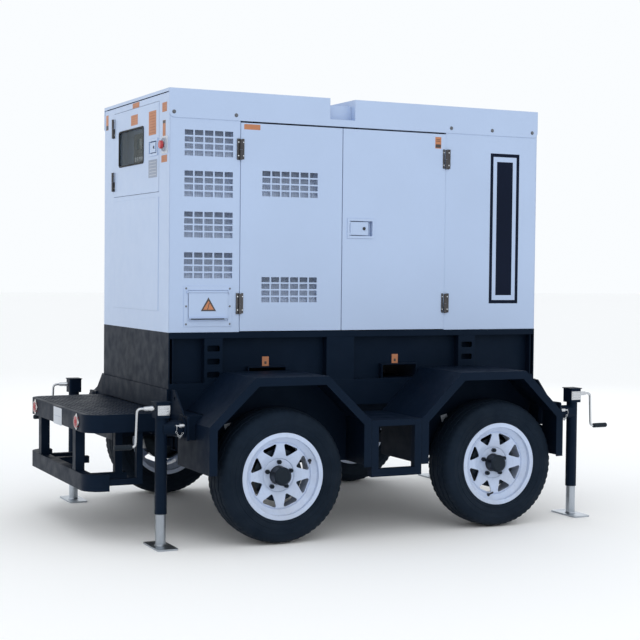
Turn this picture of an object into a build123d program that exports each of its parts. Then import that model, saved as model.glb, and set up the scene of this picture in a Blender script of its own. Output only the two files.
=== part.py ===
"""Towable diesel generator: a sound-proof canopy on a fork-liftable base, carried by a
four-wheel trailer with swivel jacks, a rear deck and a folding drawbar.

Frame: millimetres, +X towards the drawbar, +Y to the left, +Z up, origin on the ground
below the centre of the whole machine.
"""

import os
from math import cos, radians, sin

from build123d import *

# ---- canopy and base --------------------------------------------------------
CANOPY_LENGTH = 2100.0
CANOPY_WIDTH = 1040.0
CANOPY_HEIGHT = 1172.0
BASE_BOTTOM = 716.0
BASE_HEIGHT = 272.0
SHEET = 2.5
PANEL_INSET = 3.0
PANEL_FOLD = 30.0
ROOF_SKIRT = 140.0
ROOF_LIP = 16.0
ROOF_CORNER = 28.0
ROOF_GAP = 4.0

# ---- roof lifting recess ----------------------------------------------------
RECESS_START = 852.0
RECESS_WIDTH = 141.0
POCKET_DEPTH = 105.0
POCKET_REACH = 50.0
TROUGH_DEPTH = 30.0
WELL_LENGTH = 190.0
WELL_DEPTH = 120.0
EYE_PLATE = 20.0
EYE_BORE_R = 25.0
EYE_OUTER_R = 50.0

# ---- louvres ----------------------------------------------------------------
SLOT_WIDTH = 43.5
SLOT_HEIGHT = 25.0
SLOT_PITCH_X = 51.8
SLOT_PITCH_Z = 33.0
SIDE_LOUVRE_START = 77.0
SIDE_LOUVRE_BOTTOM = 263.0
SIDE_LOUVRE_PITCH = 196.5
SIDE_LOUVRE_GROUPS = 4
SIDE_LOUVRE_COLUMNS = 5
DOOR_LOUVRE_COLUMNS = 6
LOUVRE_ROWS = 4
DOOR_LOUVRE_START = 115.0
DOOR_LOUVRE_LOW = 146.0
DOOR_LOUVRE_HIGH = 669.0

# ---- side doors -------------------------------------------------------------
REAR_PANEL_LENGTH = 366.0
FRONT_PANEL_LENGTH = 570.0
REAR_DOOR_LENGTH = 555.0
DOOR_GAP = 4.0
DOOR_HINGE_HEIGHT = 100.0
DOOR_HINGE_LOW = 138.0
DOOR_HINGE_HIGH = 892.0
HINGE_PIN_R = 3.0
HINGE_KNUCKLE_R = 7.0
HINGE_FIT = 0.05
HINGE_LEAF = 18.0
HINGE_LEAF_THICK = 3.0

# ---- paddle latches ---------------------------------------------------------
LATCH_WIDTH = 155.0
LATCH_HEIGHT = 100.0
LATCH_RIM = 12.0
LATCH_PROUD = 4.0
LATCH_PAN = 24.0
LATCH_FROM_SPLIT = 27.0
LATCH_LEVEL = 521.0
PADDLE_LENGTH = 108.0
PADDLE_HEIGHT = 66.0
PADDLE_THICK = 3.0
CONTROL_LATCH_WIDTH = 136.0
CONTROL_LATCH_HEIGHT = 84.0

# ---- rear face --------------------------------------------------------------
CONTROL_DOOR_WIDTH = 716.0
CONTROL_DOOR_HEIGHT = 438.0
CONTROL_DOOR_TOP_DROP = 51.0
CONTROL_DOOR_HINGE_SIDE = 350.0
WINDOW_WIDTH = 393.0
WINDOW_HEIGHT = 180.0
WINDOW_FROM_HINGE = 92.0
WINDOW_FROM_BOTTOM = 155.0
WINDOW_THICK = 4.0
WINDOW_LAP = 12.0
CONTROL_LATCH_FROM_EDGE = 14.0
CONTROL_LATCH_FROM_BOTTOM = 178.0
NICHE_DEPTH = 80.0
CONTROLLER_SIZE = (28.0, 216.0, 168.0)
CONTROLLER_Y = 70.0
CONTROLLER_LEVEL = 236.0
BREAKER_SIZE = (60.0, 105.0, 160.0)
SERVICE_PANEL_HEIGHT = 557.0
SERVICE_PANEL_LEVEL = 100.0
E_STOP_Y = -453.0
E_STOP_LEVEL = 904.0
E_STOP_R = 20.0
E_STOP_TRAVEL = 5.0
E_STOP_COLLAR = 84.0

# ---- cable outlet -----------------------------------------------------------
OUTLET_START = 77.0
OUTLET_BOTTOM = 28.0
OUTLET_WIDTH = 249.0
OUTLET_HEIGHT = 197.0
OUTLET_PLATE = 3.0
FLAP_WIDTH = 204.0
FLAP_HEIGHT = 140.0
FLAP_BOTTOM = 28.0
FLAP_PIN_R = 3.0

# ---- base frame -------------------------------------------------------------
BASE_FLANGE = 25.0
BASE_TOP_RAIL = 30.0
BASE_RECESS = 45.0
BASE_PLATE = 6.0
POST_FROM_ENDS = (185.0, 376.0)
POST_WIDTHS = (95.0, 102.0)
POST_SLOT = (66.0, 29.0)
POST_SLOT_PITCH = 64.0
CENTRE_PLATE_START = 845.0
CENTRE_PLATE_WIDTH = 157.0
FORK_POCKET_WIDTH = 209.0
FORK_POCKET_HEIGHT = 80.0
FORK_POCKET_SPACING = 748.0
FORK_POCKET_FROM_FRONT = 827.0
TANK_WALL = 3.0
TANK_CLEARANCE = 8.0

# ---- trailer chassis --------------------------------------------------------
RAIL_HEIGHT = 106.0
RAIL_WIDTH = 60.0
RAIL_WALL = 5.0
CROSS_MEMBER = 60.0
OUTRIGGER = 115.0
OUTRIGGER_WALL = 6.0
OUTRIGGER_INSET = 10.0
GUSSET = 8.0
END_PLATE = 10.0
END_PLATE_OVERHANG = 6.0
GUSSET_HOLE_R = 10.0
JACK_Y = 727.0
JACK_SETOUT = 108.0

# ---- wheels and running gear ------------------------------------------------
TYRE_R = 322.0
TYRE_WIDTH = 205.0
BEAD_R = 190.5
RIM_FLANGE_R = 207.5
RIM_WIDTH = 178.0
RIM_SHEET = 4.0
WHEEL_Y = 808.0
REAR_AXLE_FROM_REAR = 440.0
FRONT_AXLE_FROM_FRONT = 460.0
LUG_PCD = 127.0
LUG_COUNT = 5
HUB_CAP_R = 44.0
SPINDLE_R = 22.0
SPINDLE_FIT = 0.05
AXLE_BEAM = 60.0
SPRING_HALF = 300.0
SPRING_SAG = 62.0
SPRING_WIDTH = 50.0
SPRING_LEAF = 8.0
SPRING_LEAVES = 4
SPRING_EYE_R = 16.0

# ---- fenders, steps, deck ---------------------------------------------------
FENDER_OUTER_Y = 940.0
FENDER_BOTTOM = 350.0
FENDER_KNEE = 573.0
FENDER_TOP = 794.0
FENDER_HALF = 418.0
FENDER_TOP_HALF = 189.0
FENDER_LIP = 40.0
FENDER_SHEET = 3.0
FENDER_BOARD_Y = 665.0
REAR_FENDER_FROM_REAR = 468.0
FRONT_FENDER_FROM_FRONT = 518.0
STEP_TOP = 575.0
STEP_LIP = 30.0
STEP_RAIL = 38.0
STEP_RAIL_BOTTOM = 300.0
DECK_TOP = 605.0
DECK_REACH = 410.0
DECK_WIDTH = 1070.0
DECK_FASCIA = 86.0
DECK_CORNER = 90.0
DECK_POST_Y = 318.0
BUMPER_BOTTOM = 242.0
BUMPER_HEIGHT = 80.0
BUMPER_RETURN = 116.0
BUMPER_TUBE = 50.0
SIDE_BAR = 30.0
SIDE_BAR_LENGTH = 166.0
LAMP_R = 43.0
LAMP_Y = 385.0
LAMP_DEPTH = 12.0

# ---- jacks ------------------------------------------------------------------
JACK_LEG_R = 24.0
JACK_LEG_FIT = 0.3
JACK_TUBE_WALL = 4.2
JACK_TUBE_BOTTOM = 155.0
JACK_TUBE_TOP = 604.0
JACK_HEAD = (68.0, 76.0, 72.0)
JACK_PIVOT_R = 15.0
JACK_FLANGE_R = 50.0
JACK_FOOT = (100.0, 220.0, 8.0)
JACK_LEG_LENGTH = 430.0
CRANK_ROD_R = 7.0
CRANK_REACH = 118.0
CRANK_ARM = 176.0
CRANK_TIP = 228.0
CRANK_GRIP_R = 12.5
CRANK_LEVEL = 648.0

# ---- drawbar ----------------------------------------------------------------
DRAWBAR_LENGTH = 1150.0
DRAWBAR_HALF_WIDTH = 150.0
DRAWBAR_TUBE = 60.0
DRAWBAR_SETOUT = 52.0
DRAWBAR_PIN_R = 14.0
TOW_EYE_BORE_R = 38.0
TOW_EYE_OUTER_R = 62.0
TOW_EYE_THICK = 32.0

# ---- engine, alternator and cooling -----------------------------------------
SHAFT_LEVEL = 300.0
ALTERNATOR_START = 370.0
ALTERNATOR_LENGTH = 420.0
ALTERNATOR_R = 195.0
ROTOR_R = 120.0
ROTOR_GAP = 1.5
SHAFT_R = 24.0
SHAFT_FIT = 0.1
ENGINE_LENGTH = 640.0
ENGINE_HALF_WIDTH = 150.0
FAN_R = 230.0
RADIATOR_SIZE = (80.0, 680.0, 620.0)
MUFFLER_R = 95.0
MUFFLER_LENGTH = 560.0
BATTERY_SIZE = (260.0, 172.0, 200.0)

# ---- places worked out from the sizes above ---------------------------------
JACK_BORE_R = JACK_LEG_R + JACK_LEG_FIT
JACK_TUBE_R = JACK_BORE_R + JACK_TUBE_WALL
FRONT_REACH = JACK_SETOUT + CRANK_TIP
REAR = (DECK_REACH + LAMP_DEPTH - FRONT_REACH) / 2 - CANOPY_LENGTH / 2
FRONT = REAR + CANOPY_LENGTH
SIDE = CANOPY_WIDTH / 2
WALL_Y = SIDE - PANEL_INSET
BASE_TOP = BASE_BOTTOM + BASE_HEIGHT
ROOF_TOP = BASE_TOP + CANOPY_HEIGHT
SKIRT_BOTTOM = ROOF_TOP - ROOF_SKIRT
RAIL_BOTTOM = BASE_BOTTOM - RAIL_HEIGHT
OUTRIGGER_BOTTOM = RAIL_BOTTOM - OUTRIGGER
DOOR_TOP = SKIRT_BOTTOM - 2 * DOOR_GAP
DOOR_BOTTOM = BASE_TOP + DOOR_GAP
REAR_DOOR_START = REAR + REAR_PANEL_LENGTH + DOOR_GAP / 2
REAR_DOOR_END = REAR_DOOR_START + REAR_DOOR_LENGTH
FRONT_DOOR_START = REAR_DOOR_END + DOOR_GAP
FRONT_DOOR_END = FRONT - FRONT_PANEL_LENGTH - DOOR_GAP / 2
HINGE_Y = SIDE + HINGE_KNUCKLE_R
REAR_HINGE_X = REAR_DOOR_START - DOOR_GAP / 2
FRONT_HINGE_X = FRONT_DOOR_END + DOOR_GAP / 2
AXLE_XS = (REAR + REAR_AXLE_FROM_REAR, FRONT - FRONT_AXLE_FROM_FRONT)
FENDER_XS = (REAR + REAR_FENDER_FROM_REAR, FRONT - FRONT_FENDER_FROM_FRONT)
JACK_XS = (REAR - JACK_SETOUT, FRONT + JACK_SETOUT)
OUTRIGGER_XS = (REAR + OUTRIGGER_INSET, FRONT - OUTRIGGER_INSET - OUTRIGGER)
JACK_PIVOT_Z = OUTRIGGER_BOTTOM + OUTRIGGER / 2
POCKET_XS = (
    FRONT - FORK_POCKET_FROM_FRONT - FORK_POCKET_SPACING,
    FRONT - FORK_POCKET_FROM_FRONT,
)
POCKET_BOTTOM = BASE_BOTTOM + BASE_FLANGE - BASE_PLATE
SHAFT_Z = BASE_TOP + SHAFT_LEVEL
ENGINE_START = REAR + ALTERNATOR_START + ALTERNATOR_LENGTH
ENGINE_END = ENGINE_START + ENGINE_LENGTH
CONTROL_DOOR_TOP = ROOF_TOP - CONTROL_DOOR_TOP_DROP
CONTROL_DOOR_BOTTOM = CONTROL_DOOR_TOP - CONTROL_DOOR_HEIGHT
CONTROL_DOOR_FREE_SIDE = CONTROL_DOOR_HINGE_SIDE - CONTROL_DOOR_WIDTH
CONTROL_HINGE_X = REAR - HINGE_KNUCKLE_R
CONTROL_HINGE_Y = CONTROL_DOOR_HINGE_SIDE + DOOR_GAP / 2
END_WALL = SHEET + 0.5
SIDES = {"right": -1, "left": 1}
ENDS = {"rear": 0, "front": 1}


# ---- small shapes that many pieces share ------------------------------------
def block(x0, x1, y0, y1, z0, z1):
    """A box between two corners."""
    size = Box(abs(x1 - x0), abs(y1 - y0), abs(z1 - z0))
    return Pos((x0 + x1) / 2, (y0 + y1) / 2, (z0 + z1) / 2) * size


def rod_x(x0, x1, y, z, radius):
    """A round bar along X."""
    bar = Rot(0, 90, 0) * Cylinder(radius, abs(x1 - x0))
    return Pos((x0 + x1) / 2, y, z) * bar


def rod_y(x, y0, y1, z, radius):
    """A round bar along Y."""
    bar = Rot(90, 0, 0) * Cylinder(radius, abs(y1 - y0))
    return Pos(x, (y0 + y1) / 2, z) * bar


def rod_z(x, y, z0, z1, radius):
    """A round bar along Z."""
    return Pos(x, y, (z0 + z1) / 2) * Cylinder(radius, abs(z1 - z0))


def flat_y(points, y0, y1):
    """An outline given as (x, z) points, extruded along Y."""
    face = make_face(Polyline(*[(x, z) for x, z in points], close=True))
    solid = extrude(Plane.XZ * face, amount=abs(y1 - y0))
    return Pos(0, max(y0, y1), 0) * solid


def flat_x(points, x0, x1):
    """An outline given as (y, z) points, extruded along X."""
    face = make_face(Polyline(*[(y, z) for y, z in points], close=True))
    solid = extrude(Plane.YZ * face, amount=abs(x1 - x0))
    return Pos(min(x0, x1), 0, 0) * solid


def slot_grid(x0, z0, columns, y_low, y_high):
    """The cutters of one louvre group."""
    cutters = []
    for column in range(columns):
        for row in range(LOUVRE_ROWS):
            x = x0 + column * SLOT_PITCH_X
            z = z0 + row * SLOT_PITCH_Z
            cutters.append(block(x, x + SLOT_WIDTH, y_low, y_high, z, z + SLOT_HEIGHT))
    return cutters


# ---- trailer chassis --------------------------------------------------------
def chassis_rail(side):
    """One box-section side rail."""
    outer = block(REAR, FRONT, side * (SIDE - RAIL_WIDTH), side * SIDE, RAIL_BOTTOM, BASE_BOTTOM)
    inner = block(
        REAR + RAIL_WALL,
        FRONT - RAIL_WALL,
        side * (SIDE - RAIL_WIDTH + RAIL_WALL),
        side * (SIDE - RAIL_WALL),
        RAIL_BOTTOM + RAIL_WALL,
        BASE_BOTTOM - RAIL_WALL,
    )
    return outer - inner


def outrigger(x0):
    """One square cross tube that carries a jack at each end."""
    reach = JACK_Y + JACK_TUBE_R
    outer = block(x0, x0 + OUTRIGGER, -reach, reach, OUTRIGGER_BOTTOM, RAIL_BOTTOM)
    wall = OUTRIGGER_WALL
    inner = block(
        x0 + wall,
        x0 + OUTRIGGER - wall,
        wall - reach,
        reach - wall,
        OUTRIGGER_BOTTOM + wall,
        RAIL_BOTTOM - wall,
    )
    return outer - inner


def gusset(x0, side):
    """One sloped plate from an outrigger up to the side rail, with a lashing hole."""
    foot = JACK_Y - JACK_TUBE_R
    points = [
        (side * SIDE, RAIL_BOTTOM),
        (side * foot, RAIL_BOTTOM),
        (side * (foot - 12), RAIL_BOTTOM + 14),
        (side * (SIDE + 62), BASE_BOTTOM),
        (side * SIDE, BASE_BOTTOM),
    ]
    plate = flat_x(points, x0, x0 + GUSSET)
    hole = rod_x(x0 - 1, x0 + GUSSET + 1, side * (SIDE + 62), BASE_BOTTOM - 40, GUSSET_HOLE_R)
    return plate - hole


def jack_mount(end, side):
    """The flange plate on an outrigger that the jack's pivot turns in."""
    outrigger_face = OUTRIGGER_XS[0] if end == 0 else OUTRIGGER_XS[1] + OUTRIGGER
    away = -1 if end == 0 else 1
    half = OUTRIGGER / 2
    plate = block(
        outrigger_face,
        outrigger_face + away * OUTRIGGER_INSET,
        side * JACK_Y - half,
        side * JACK_Y + half,
        JACK_PIVOT_Z - half,
        JACK_PIVOT_Z + half,
    )
    return fillet(plate.edges().filter_by(Axis.X), 10)


def spring_hanger(x, side):
    """One pair of hanger ears below a rail, for a leaf-spring eye."""
    centre = side * (SIDE - RAIL_WIDTH / 2)
    eye_z = spring_eye_z()
    ears = []
    for ear in (-1, 1):
        inner = centre + ear * (SPRING_WIDTH / 2 + 1)
        outer = inner + ear * 5
        points = [(x - 40, RAIL_BOTTOM), (x + 40, RAIL_BOTTOM), (x + 20, eye_z - 18), (x - 20, eye_z - 18)]
        ears.append(flat_y(points, min(inner, outer), max(inner, outer)))
    return ears[0] + ears[1]


def spring_eye_z():
    """The height of the leaf-spring eyes."""
    return TYRE_R + AXLE_BEAM / 2 + SPRING_LEAVES * SPRING_LEAF + SPRING_SAG


def chassis_frame():
    """Rails, cross members, outriggers, gussets, hangers and drawbar ears, all welded."""
    parts = [chassis_rail(-1), chassis_rail(1)]
    inner = SIDE - RAIL_WIDTH
    for x in (AXLE_XS[0] - SPRING_HALF, AXLE_XS[0], (REAR + FRONT) / 2, AXLE_XS[1], AXLE_XS[1] + SPRING_HALF):
        x0 = x - CROSS_MEMBER / 2
        parts.append(block(x0, x0 + CROSS_MEMBER, -inner, inner, RAIL_BOTTOM + 20, BASE_BOTTOM))
    for end in ENDS.values():
        parts.append(outrigger(OUTRIGGER_XS[end]))
        plate_x = OUTRIGGER_XS[0] if end == 0 else OUTRIGGER_XS[1] + OUTRIGGER - GUSSET
        for side in SIDES.values():
            parts.append(gusset(plate_x, side))
            parts.append(jack_mount(end, side))
    for x in AXLE_XS:
        for side in SIDES.values():
            parts.append(spring_hanger(x - SPRING_HALF, side))
            parts.append(spring_hanger(x + SPRING_HALF, side))
    face = OUTRIGGER_XS[1] + OUTRIGGER
    for side in SIDES.values():
        y0 = side * (DRAWBAR_HALF_WIDTH + DRAWBAR_TUBE / 2 + 1)
        ear_x = face + OUTRIGGER_INSET + DRAWBAR_SETOUT + 26
        ear = block(face, ear_x, y0, y0 + side * 12, JACK_PIVOT_Z - 40, JACK_PIVOT_Z + 40)
        parts.append(ear)
    frame = parts[0].fuse(*parts[1:])
    for end in ENDS.values():
        away = -1 if end == 0 else 1
        face = OUTRIGGER_XS[0] if end == 0 else OUTRIGGER_XS[1] + OUTRIGGER
        for side in SIDES.values():
            bore_r = JACK_PIVOT_R + SPINDLE_FIT
            bore = rod_x(face - away * 30, face + away * 30, side * JACK_Y, JACK_PIVOT_Z, bore_r)
            frame = frame - bore
    pin = rod_y(FRONT + DRAWBAR_SETOUT, -SIDE, SIDE, JACK_PIVOT_Z, DRAWBAR_PIN_R)
    return frame - pin


def end_plates():
    """The closing plates across both ends of the chassis."""
    reach = SIDE + END_PLATE_OVERHANG
    plates = []
    for outer, away in ((REAR, -1), (FRONT, 1)):
        plates.append(block(outer, outer + away * END_PLATE, -reach, reach, RAIL_BOTTOM, BASE_BOTTOM))
    return plates


# ---- running gear -----------------------------------------------------------
def axle(x):
    """One square axle beam with a round spindle at each end."""
    beam_end = FENDER_BOARD_Y - 25
    half = AXLE_BEAM / 2
    beam = block(x - half, x + half, -beam_end, beam_end, TYRE_R - half, TYRE_R + half)
    spindle = rod_y(x, -(WHEEL_Y + 55), WHEEL_Y + 55, TYRE_R, SPINDLE_R)
    return beam + spindle


def leaf_spring(x, side):
    """One semi-elliptic spring: a stack of curved leaves with rolled eyes."""
    y0 = side * (SIDE - RAIL_WIDTH / 2) - SPRING_WIDTH / 2
    y1 = y0 + SPRING_WIDTH
    bend = (SPRING_HALF ** 2 + SPRING_SAG ** 2) / (2 * SPRING_SAG)
    top = spring_eye_z() - SPRING_SAG
    centre = top + bend
    pack = None
    for leaf in range(SPRING_LEAVES):
        outer = rod_y(x, y0, y1, centre, bend + (leaf + 1) * SPRING_LEAF)
        ring = outer - rod_y(x, y0 - 1, y1 + 1, centre, bend + leaf * SPRING_LEAF)
        half = SPRING_HALF * (1 - 0.2 * leaf)
        span = block(x - half, x + half, y0, y1, top - 60, top + SPRING_SAG + SPRING_LEAF)
        piece = ring & span
        pack = piece if pack is None else pack + piece
    for end in (-1, 1):
        pack = pack + rod_y(x + end * SPRING_HALF, y0, y1, spring_eye_z(), SPRING_EYE_R)
    return pack


def spring_clamp(x, side):
    """The two plates and four bolts that hold a spring down on its axle."""
    centre = side * (SIDE - RAIL_WIDTH / 2)
    top = spring_eye_z() - SPRING_SAG
    below = TYRE_R - AXLE_BEAM / 2
    clamp = block(x - 50, x + 50, centre - 42, centre + 42, below - 8, below)
    clamp = clamp + block(x - 50, x + 50, centre - 42, centre + 42, top, top + 8)
    for dx in (-38, 38):
        for dy in (-34, 34):
            clamp = clamp + rod_z(x + dx, centre + dy, below - 8, top + 8, 6)
    return clamp


def leaf_springs():
    """All four springs, each with its clamp, as separate solids."""
    solids = []
    for x in AXLE_XS:
        for side in SIDES.values():
            solids.append(leaf_spring(x, side))
            solids.append(spring_clamp(x, side))
    return Compound(solids)


def revolved_about_y(points, x, y, z, side):
    """A profile of (radius, outboard) points turned about a wheel axis."""
    face = make_face(Polyline(*[(r, out) for r, out in points], close=True))
    solid = revolve(face, Axis.Y)
    if side < 0:
        solid = mirror(solid, Plane.XZ)
    return Pos(x, y, z) * solid


def tyre(x, side):
    """A radial tyre: crown, shoulders, bulged side walls and two beads."""
    half = TYRE_WIDTH / 2
    crown = half - 24
    bead = RIM_WIDTH / 2 - RIM_SHEET - 1
    outer = [
        (BEAD_R + 1, bead),
        (RIM_FLANGE_R + 2, bead),
        (RIM_FLANGE_R + 6, half - 8),
        (BEAD_R + 68, half),
        (TYRE_R - 26, half - 8),
        (TYRE_R - 8, crown),
        (TYRE_R, crown - 26),
    ]
    inner = [
        (TYRE_R - 15, crown - 20),
        (TYRE_R - 32, half - 20),
        (BEAD_R + 66, half - 9),
        (BEAD_R + 22, bead - 14),
        (BEAD_R + 1, bead - 14),
    ]
    profile = outer + [(r, -out) for r, out in reversed(outer)]
    profile = profile + [(r, -out) for r, out in reversed(inner)] + inner
    return revolved_about_y(profile, x, side * WHEEL_Y, TYRE_R, side)


def rim(x, side):
    """A pressed steel wheel: drop-centre barrel, dished disc and eight windows."""
    half = RIM_WIDTH / 2
    t = RIM_SHEET
    drop = BEAD_R - 26
    barrel = [
        (RIM_FLANGE_R, half),
        (RIM_FLANGE_R, half - t),
        (BEAD_R, half - t),
        (BEAD_R, half - 22),
        (drop, half - 38),
        (drop, -half + 52),
        (BEAD_R, -half + 34),
        (BEAD_R, -half + t),
        (RIM_FLANGE_R, -half + t),
        (RIM_FLANGE_R, -half),
        (BEAD_R - t, -half),
        (BEAD_R - t, -half + 32),
        (drop - t, -half + 50),
        (drop - t, half - 36),
        (BEAD_R - t, half - 20),
        (BEAD_R - t, half),
    ]
    disc = [
        (HUB_CAP_R + 2, 34),
        (LUG_PCD / 2 + 14, 34),
        (LUG_PCD / 2 + 18, 38),
        (drop - 50, 49),
        (drop - 12, 54),
        (drop - t, 50),
        (drop - t, 43),
        (drop - 14, 48),
        (drop - 49, 43),
        (LUG_PCD / 2 + 20, 32),
        (LUG_PCD / 2 + 16, 28),
        (HUB_CAP_R + 2, 28),
    ]
    wheel = revolved_about_y(barrel, x, side * WHEEL_Y, TYRE_R, side)
    wheel = wheel + revolved_about_y(disc, x, side * WHEEL_Y, TYRE_R, side)
    near = side * (WHEEL_Y + 5)
    far = side * (WHEEL_Y + 60)
    for number in range(8):
        turn = radians(22.5 + 45 * number)
        corners = [(92, 0), (156, 0.29), (156, -0.29)]
        points = [(x + r * cos(turn + a), TYRE_R + r * sin(turn + a)) for r, a in corners]
        window = flat_y(points, near, far)
        window = fillet(window.edges().filter_by(Axis.Y), 8)
        wheel = wheel - window
    for lug in range(LUG_COUNT):
        turn = radians(90 + 360 * lug / LUG_COUNT)
        lug_x = x + LUG_PCD / 2 * cos(turn)
        lug_z = TYRE_R + LUG_PCD / 2 * sin(turn)
        wheel = wheel - rod_y(lug_x, near, far, lug_z, 8)
    return wheel


def hub(x, side):
    """Brake drum, hub barrel with grease cap, and the wheel nuts on their studs."""
    drum = [
        (HUB_CAP_R - 6, 28),
        (125, 28),
        (125, -48),
        (117, -48),
        (117, 18),
        (HUB_CAP_R - 6, 18),
    ]
    barrel = [
        (SPINDLE_R + SPINDLE_FIT, -50),
        (HUB_CAP_R, -50),
        (HUB_CAP_R, 86),
        (HUB_CAP_R - 10, 96),
        (0, 96),
        (0, 60),
        (SPINDLE_R + SPINDLE_FIT, 60),
    ]
    body = revolved_about_y(drum, x, side * WHEEL_Y, TYRE_R, side)
    body = body + revolved_about_y(barrel, x, side * WHEEL_Y, TYRE_R, side)
    solids = [body]
    for lug in range(LUG_COUNT):
        turn = radians(90 + 360 * lug / LUG_COUNT)
        lug_x = x + LUG_PCD / 2 * cos(turn)
        lug_z = TYRE_R + LUG_PCD / 2 * sin(turn)
        nut = extrude(RegularPolygon(11, 6), amount=16)
        nut = Pos(lug_x, side * (WHEEL_Y + 34), lug_z) * (Rot(-90 * side, 0, 0) * nut)
        stud = rod_y(lug_x, side * (WHEEL_Y + 28), side * (WHEEL_Y + 56), lug_z, 6.5)
        solids.append(nut + stud)
    return Compound(solids)


# ---- fenders, steps, rear deck ----------------------------------------------
def fender_outline(x, shrink):
    """The octagonal side outline of a fender, open at the bottom."""
    slope = shrink * 0.41
    return [
        (x - FENDER_HALF + shrink, FENDER_BOTTOM),
        (x - FENDER_HALF + shrink, FENDER_KNEE - slope),
        (x - FENDER_TOP_HALF + slope, FENDER_TOP - shrink),
        (x + FENDER_TOP_HALF - slope, FENDER_TOP - shrink),
        (x + FENDER_HALF - shrink, FENDER_KNEE - slope),
        (x + FENDER_HALF - shrink, FENDER_BOTTOM),
    ]


def fender(x, side):
    """One folded fender with its outer lip and closed inner board."""
    inner_y = SIDE + 1
    skin = flat_y(fender_outline(x, 0), side * inner_y, side * FENDER_OUTER_Y)
    skin = skin - flat_y(fender_outline(x, FENDER_SHEET), side * (inner_y - 1), side * (FENDER_OUTER_Y + 1))
    lip = flat_y(fender_outline(x, 0), side * (FENDER_OUTER_Y - FENDER_SHEET), side * FENDER_OUTER_Y)
    window = fender_outline(x, FENDER_LIP)
    lip = lip - flat_y(window, side * (FENDER_OUTER_Y - 20), side * (FENDER_OUTER_Y + 1))
    board = flat_y(fender_outline(x, 0), side * FENDER_BOARD_Y, side * (FENDER_BOARD_Y + FENDER_SHEET))
    half = AXLE_BEAM / 2 + 12
    axle_x = min(AXLE_XS, key=lambda place: abs(place - x))
    slot = block(axle_x - half, axle_x + half, -SIDE * 2, SIDE * 2, FENDER_BOTTOM - 1, TYRE_R + half)
    shell = skin + lip + board
    shell = shell - slot
    for end in ENDS.values():
        x0 = OUTRIGGER_XS[end]
        reach = JACK_Y + JACK_TUBE_R + 3
        arm_end = x0 + OUTRIGGER + 3
        shell = shell - block(x0 - 3, arm_end, -reach, reach, OUTRIGGER_BOTTOM - 3, RAIL_BOTTOM + 3)
        gusset_x = OUTRIGGER_XS[0] if end == 0 else OUTRIGGER_XS[1] + OUTRIGGER - GUSSET
        gusset_end = gusset_x + GUSSET + 2
        shell = shell - block(gusset_x - 2, gusset_end, -reach, reach, RAIL_BOTTOM, BASE_BOTTOM + 2)
    return shell


def side_step(side):
    """The chequered step between two fenders, on a welded hanging frame."""
    x0 = FENDER_XS[0] + FENDER_HALF + 1
    x1 = FENDER_XS[1] - FENDER_HALF - 1
    y0 = side * (SIDE + 1)
    y1 = side * FENDER_OUTER_Y
    rail = STEP_RAIL
    step = block(x0, x1, y0, y1, STEP_TOP - 5, STEP_TOP)
    front = block(x0, x1, y1 - side * rail, y1, STEP_RAIL_BOTTOM, STEP_TOP)
    gap = block(x0 + rail, x1 - rail, y0, y1 + side, STEP_RAIL_BOTTOM + rail, STEP_TOP - STEP_LIP)
    return step + (front - gap)


def deck_plan(inset, z0, z1):
    """The deck's rounded plan, drawn in by an inset and extruded."""
    x0 = REAR - DECK_REACH + inset
    y0 = DECK_WIDTH / 2 - inset
    plate = block(x0, REAR, -y0, y0, z0, z1)
    rear_edges = plate.edges().filter_by(Axis.Z).sort_by(Axis.X)[:2]
    return fillet(rear_edges, DECK_CORNER - inset)


def rear_deck():
    """Chequer-plate deck with its fascia, hanging posts and wrap-round bumper."""
    wall = 5.0
    bottom = DECK_TOP - DECK_FASCIA
    deck = deck_plan(0, bottom, DECK_TOP) - deck_plan(wall, bottom - 1, DECK_TOP - wall)
    deck = deck + block(REAR - wall, REAR, -(DECK_WIDTH / 2), DECK_WIDTH / 2, bottom, DECK_TOP)
    ring = deck_plan(0, BUMPER_BOTTOM, BUMPER_BOTTOM + BUMPER_HEIGHT)
    ring = ring - deck_plan(BUMPER_TUBE, BUMPER_BOTTOM - 1, BUMPER_BOTTOM + BUMPER_HEIGHT + 1)
    keep = block(REAR - DECK_REACH - 1, REAR - DECK_REACH + BUMPER_RETURN, -SIDE * 2, SIDE * 2, 0, DECK_TOP)
    parts = [deck, ring & keep]
    post_x = REAR - DECK_REACH + BUMPER_TUBE / 2
    rail_y = DECK_POST_Y
    middle = BUMPER_BOTTOM + BUMPER_HEIGHT / 2
    stub_x = REAR - DECK_REACH / 2
    for side in SIDES.values():
        y = side * rail_y
        parts.append(block(post_x - 20, post_x + 25, y - 25, y + 25, BUMPER_BOTTOM + 10, DECK_TOP - wall))
        parts.append(block(post_x, stub_x + 60, y - 18, y + 18, middle - 18, middle + 18))
        parts.append(block(stub_x, stub_x + 36, y - 18, y + 18, middle - 18, DECK_TOP - wall))
        bar_y = side * (DECK_WIDTH / 2 - BUMPER_TUBE / 2)
        bar_start = REAR - DECK_REACH + BUMPER_RETURN
        bar_end = bar_start + SIDE_BAR_LENGTH
        half = SIDE_BAR / 2
        parts.append(block(bar_start - 2, bar_end, bar_y - half, bar_y + half, middle - half, middle + half))
        upright = block(bar_end - SIDE_BAR, bar_end, bar_y - half, bar_y + half, middle - half, DECK_TOP - wall)
        parts.append(upright)
    gusset_clear = OUTRIGGER_INSET
    for side in SIDES.values():
        y = side * rail_y
        low = OUTRIGGER_BOTTOM + 25
        parts.append(block(REAR - wall, REAR + gusset_clear, y - 40, y + 40, low, RAIL_BOTTOM - 6))
    return parts[0].fuse(*parts[1:])


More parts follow.
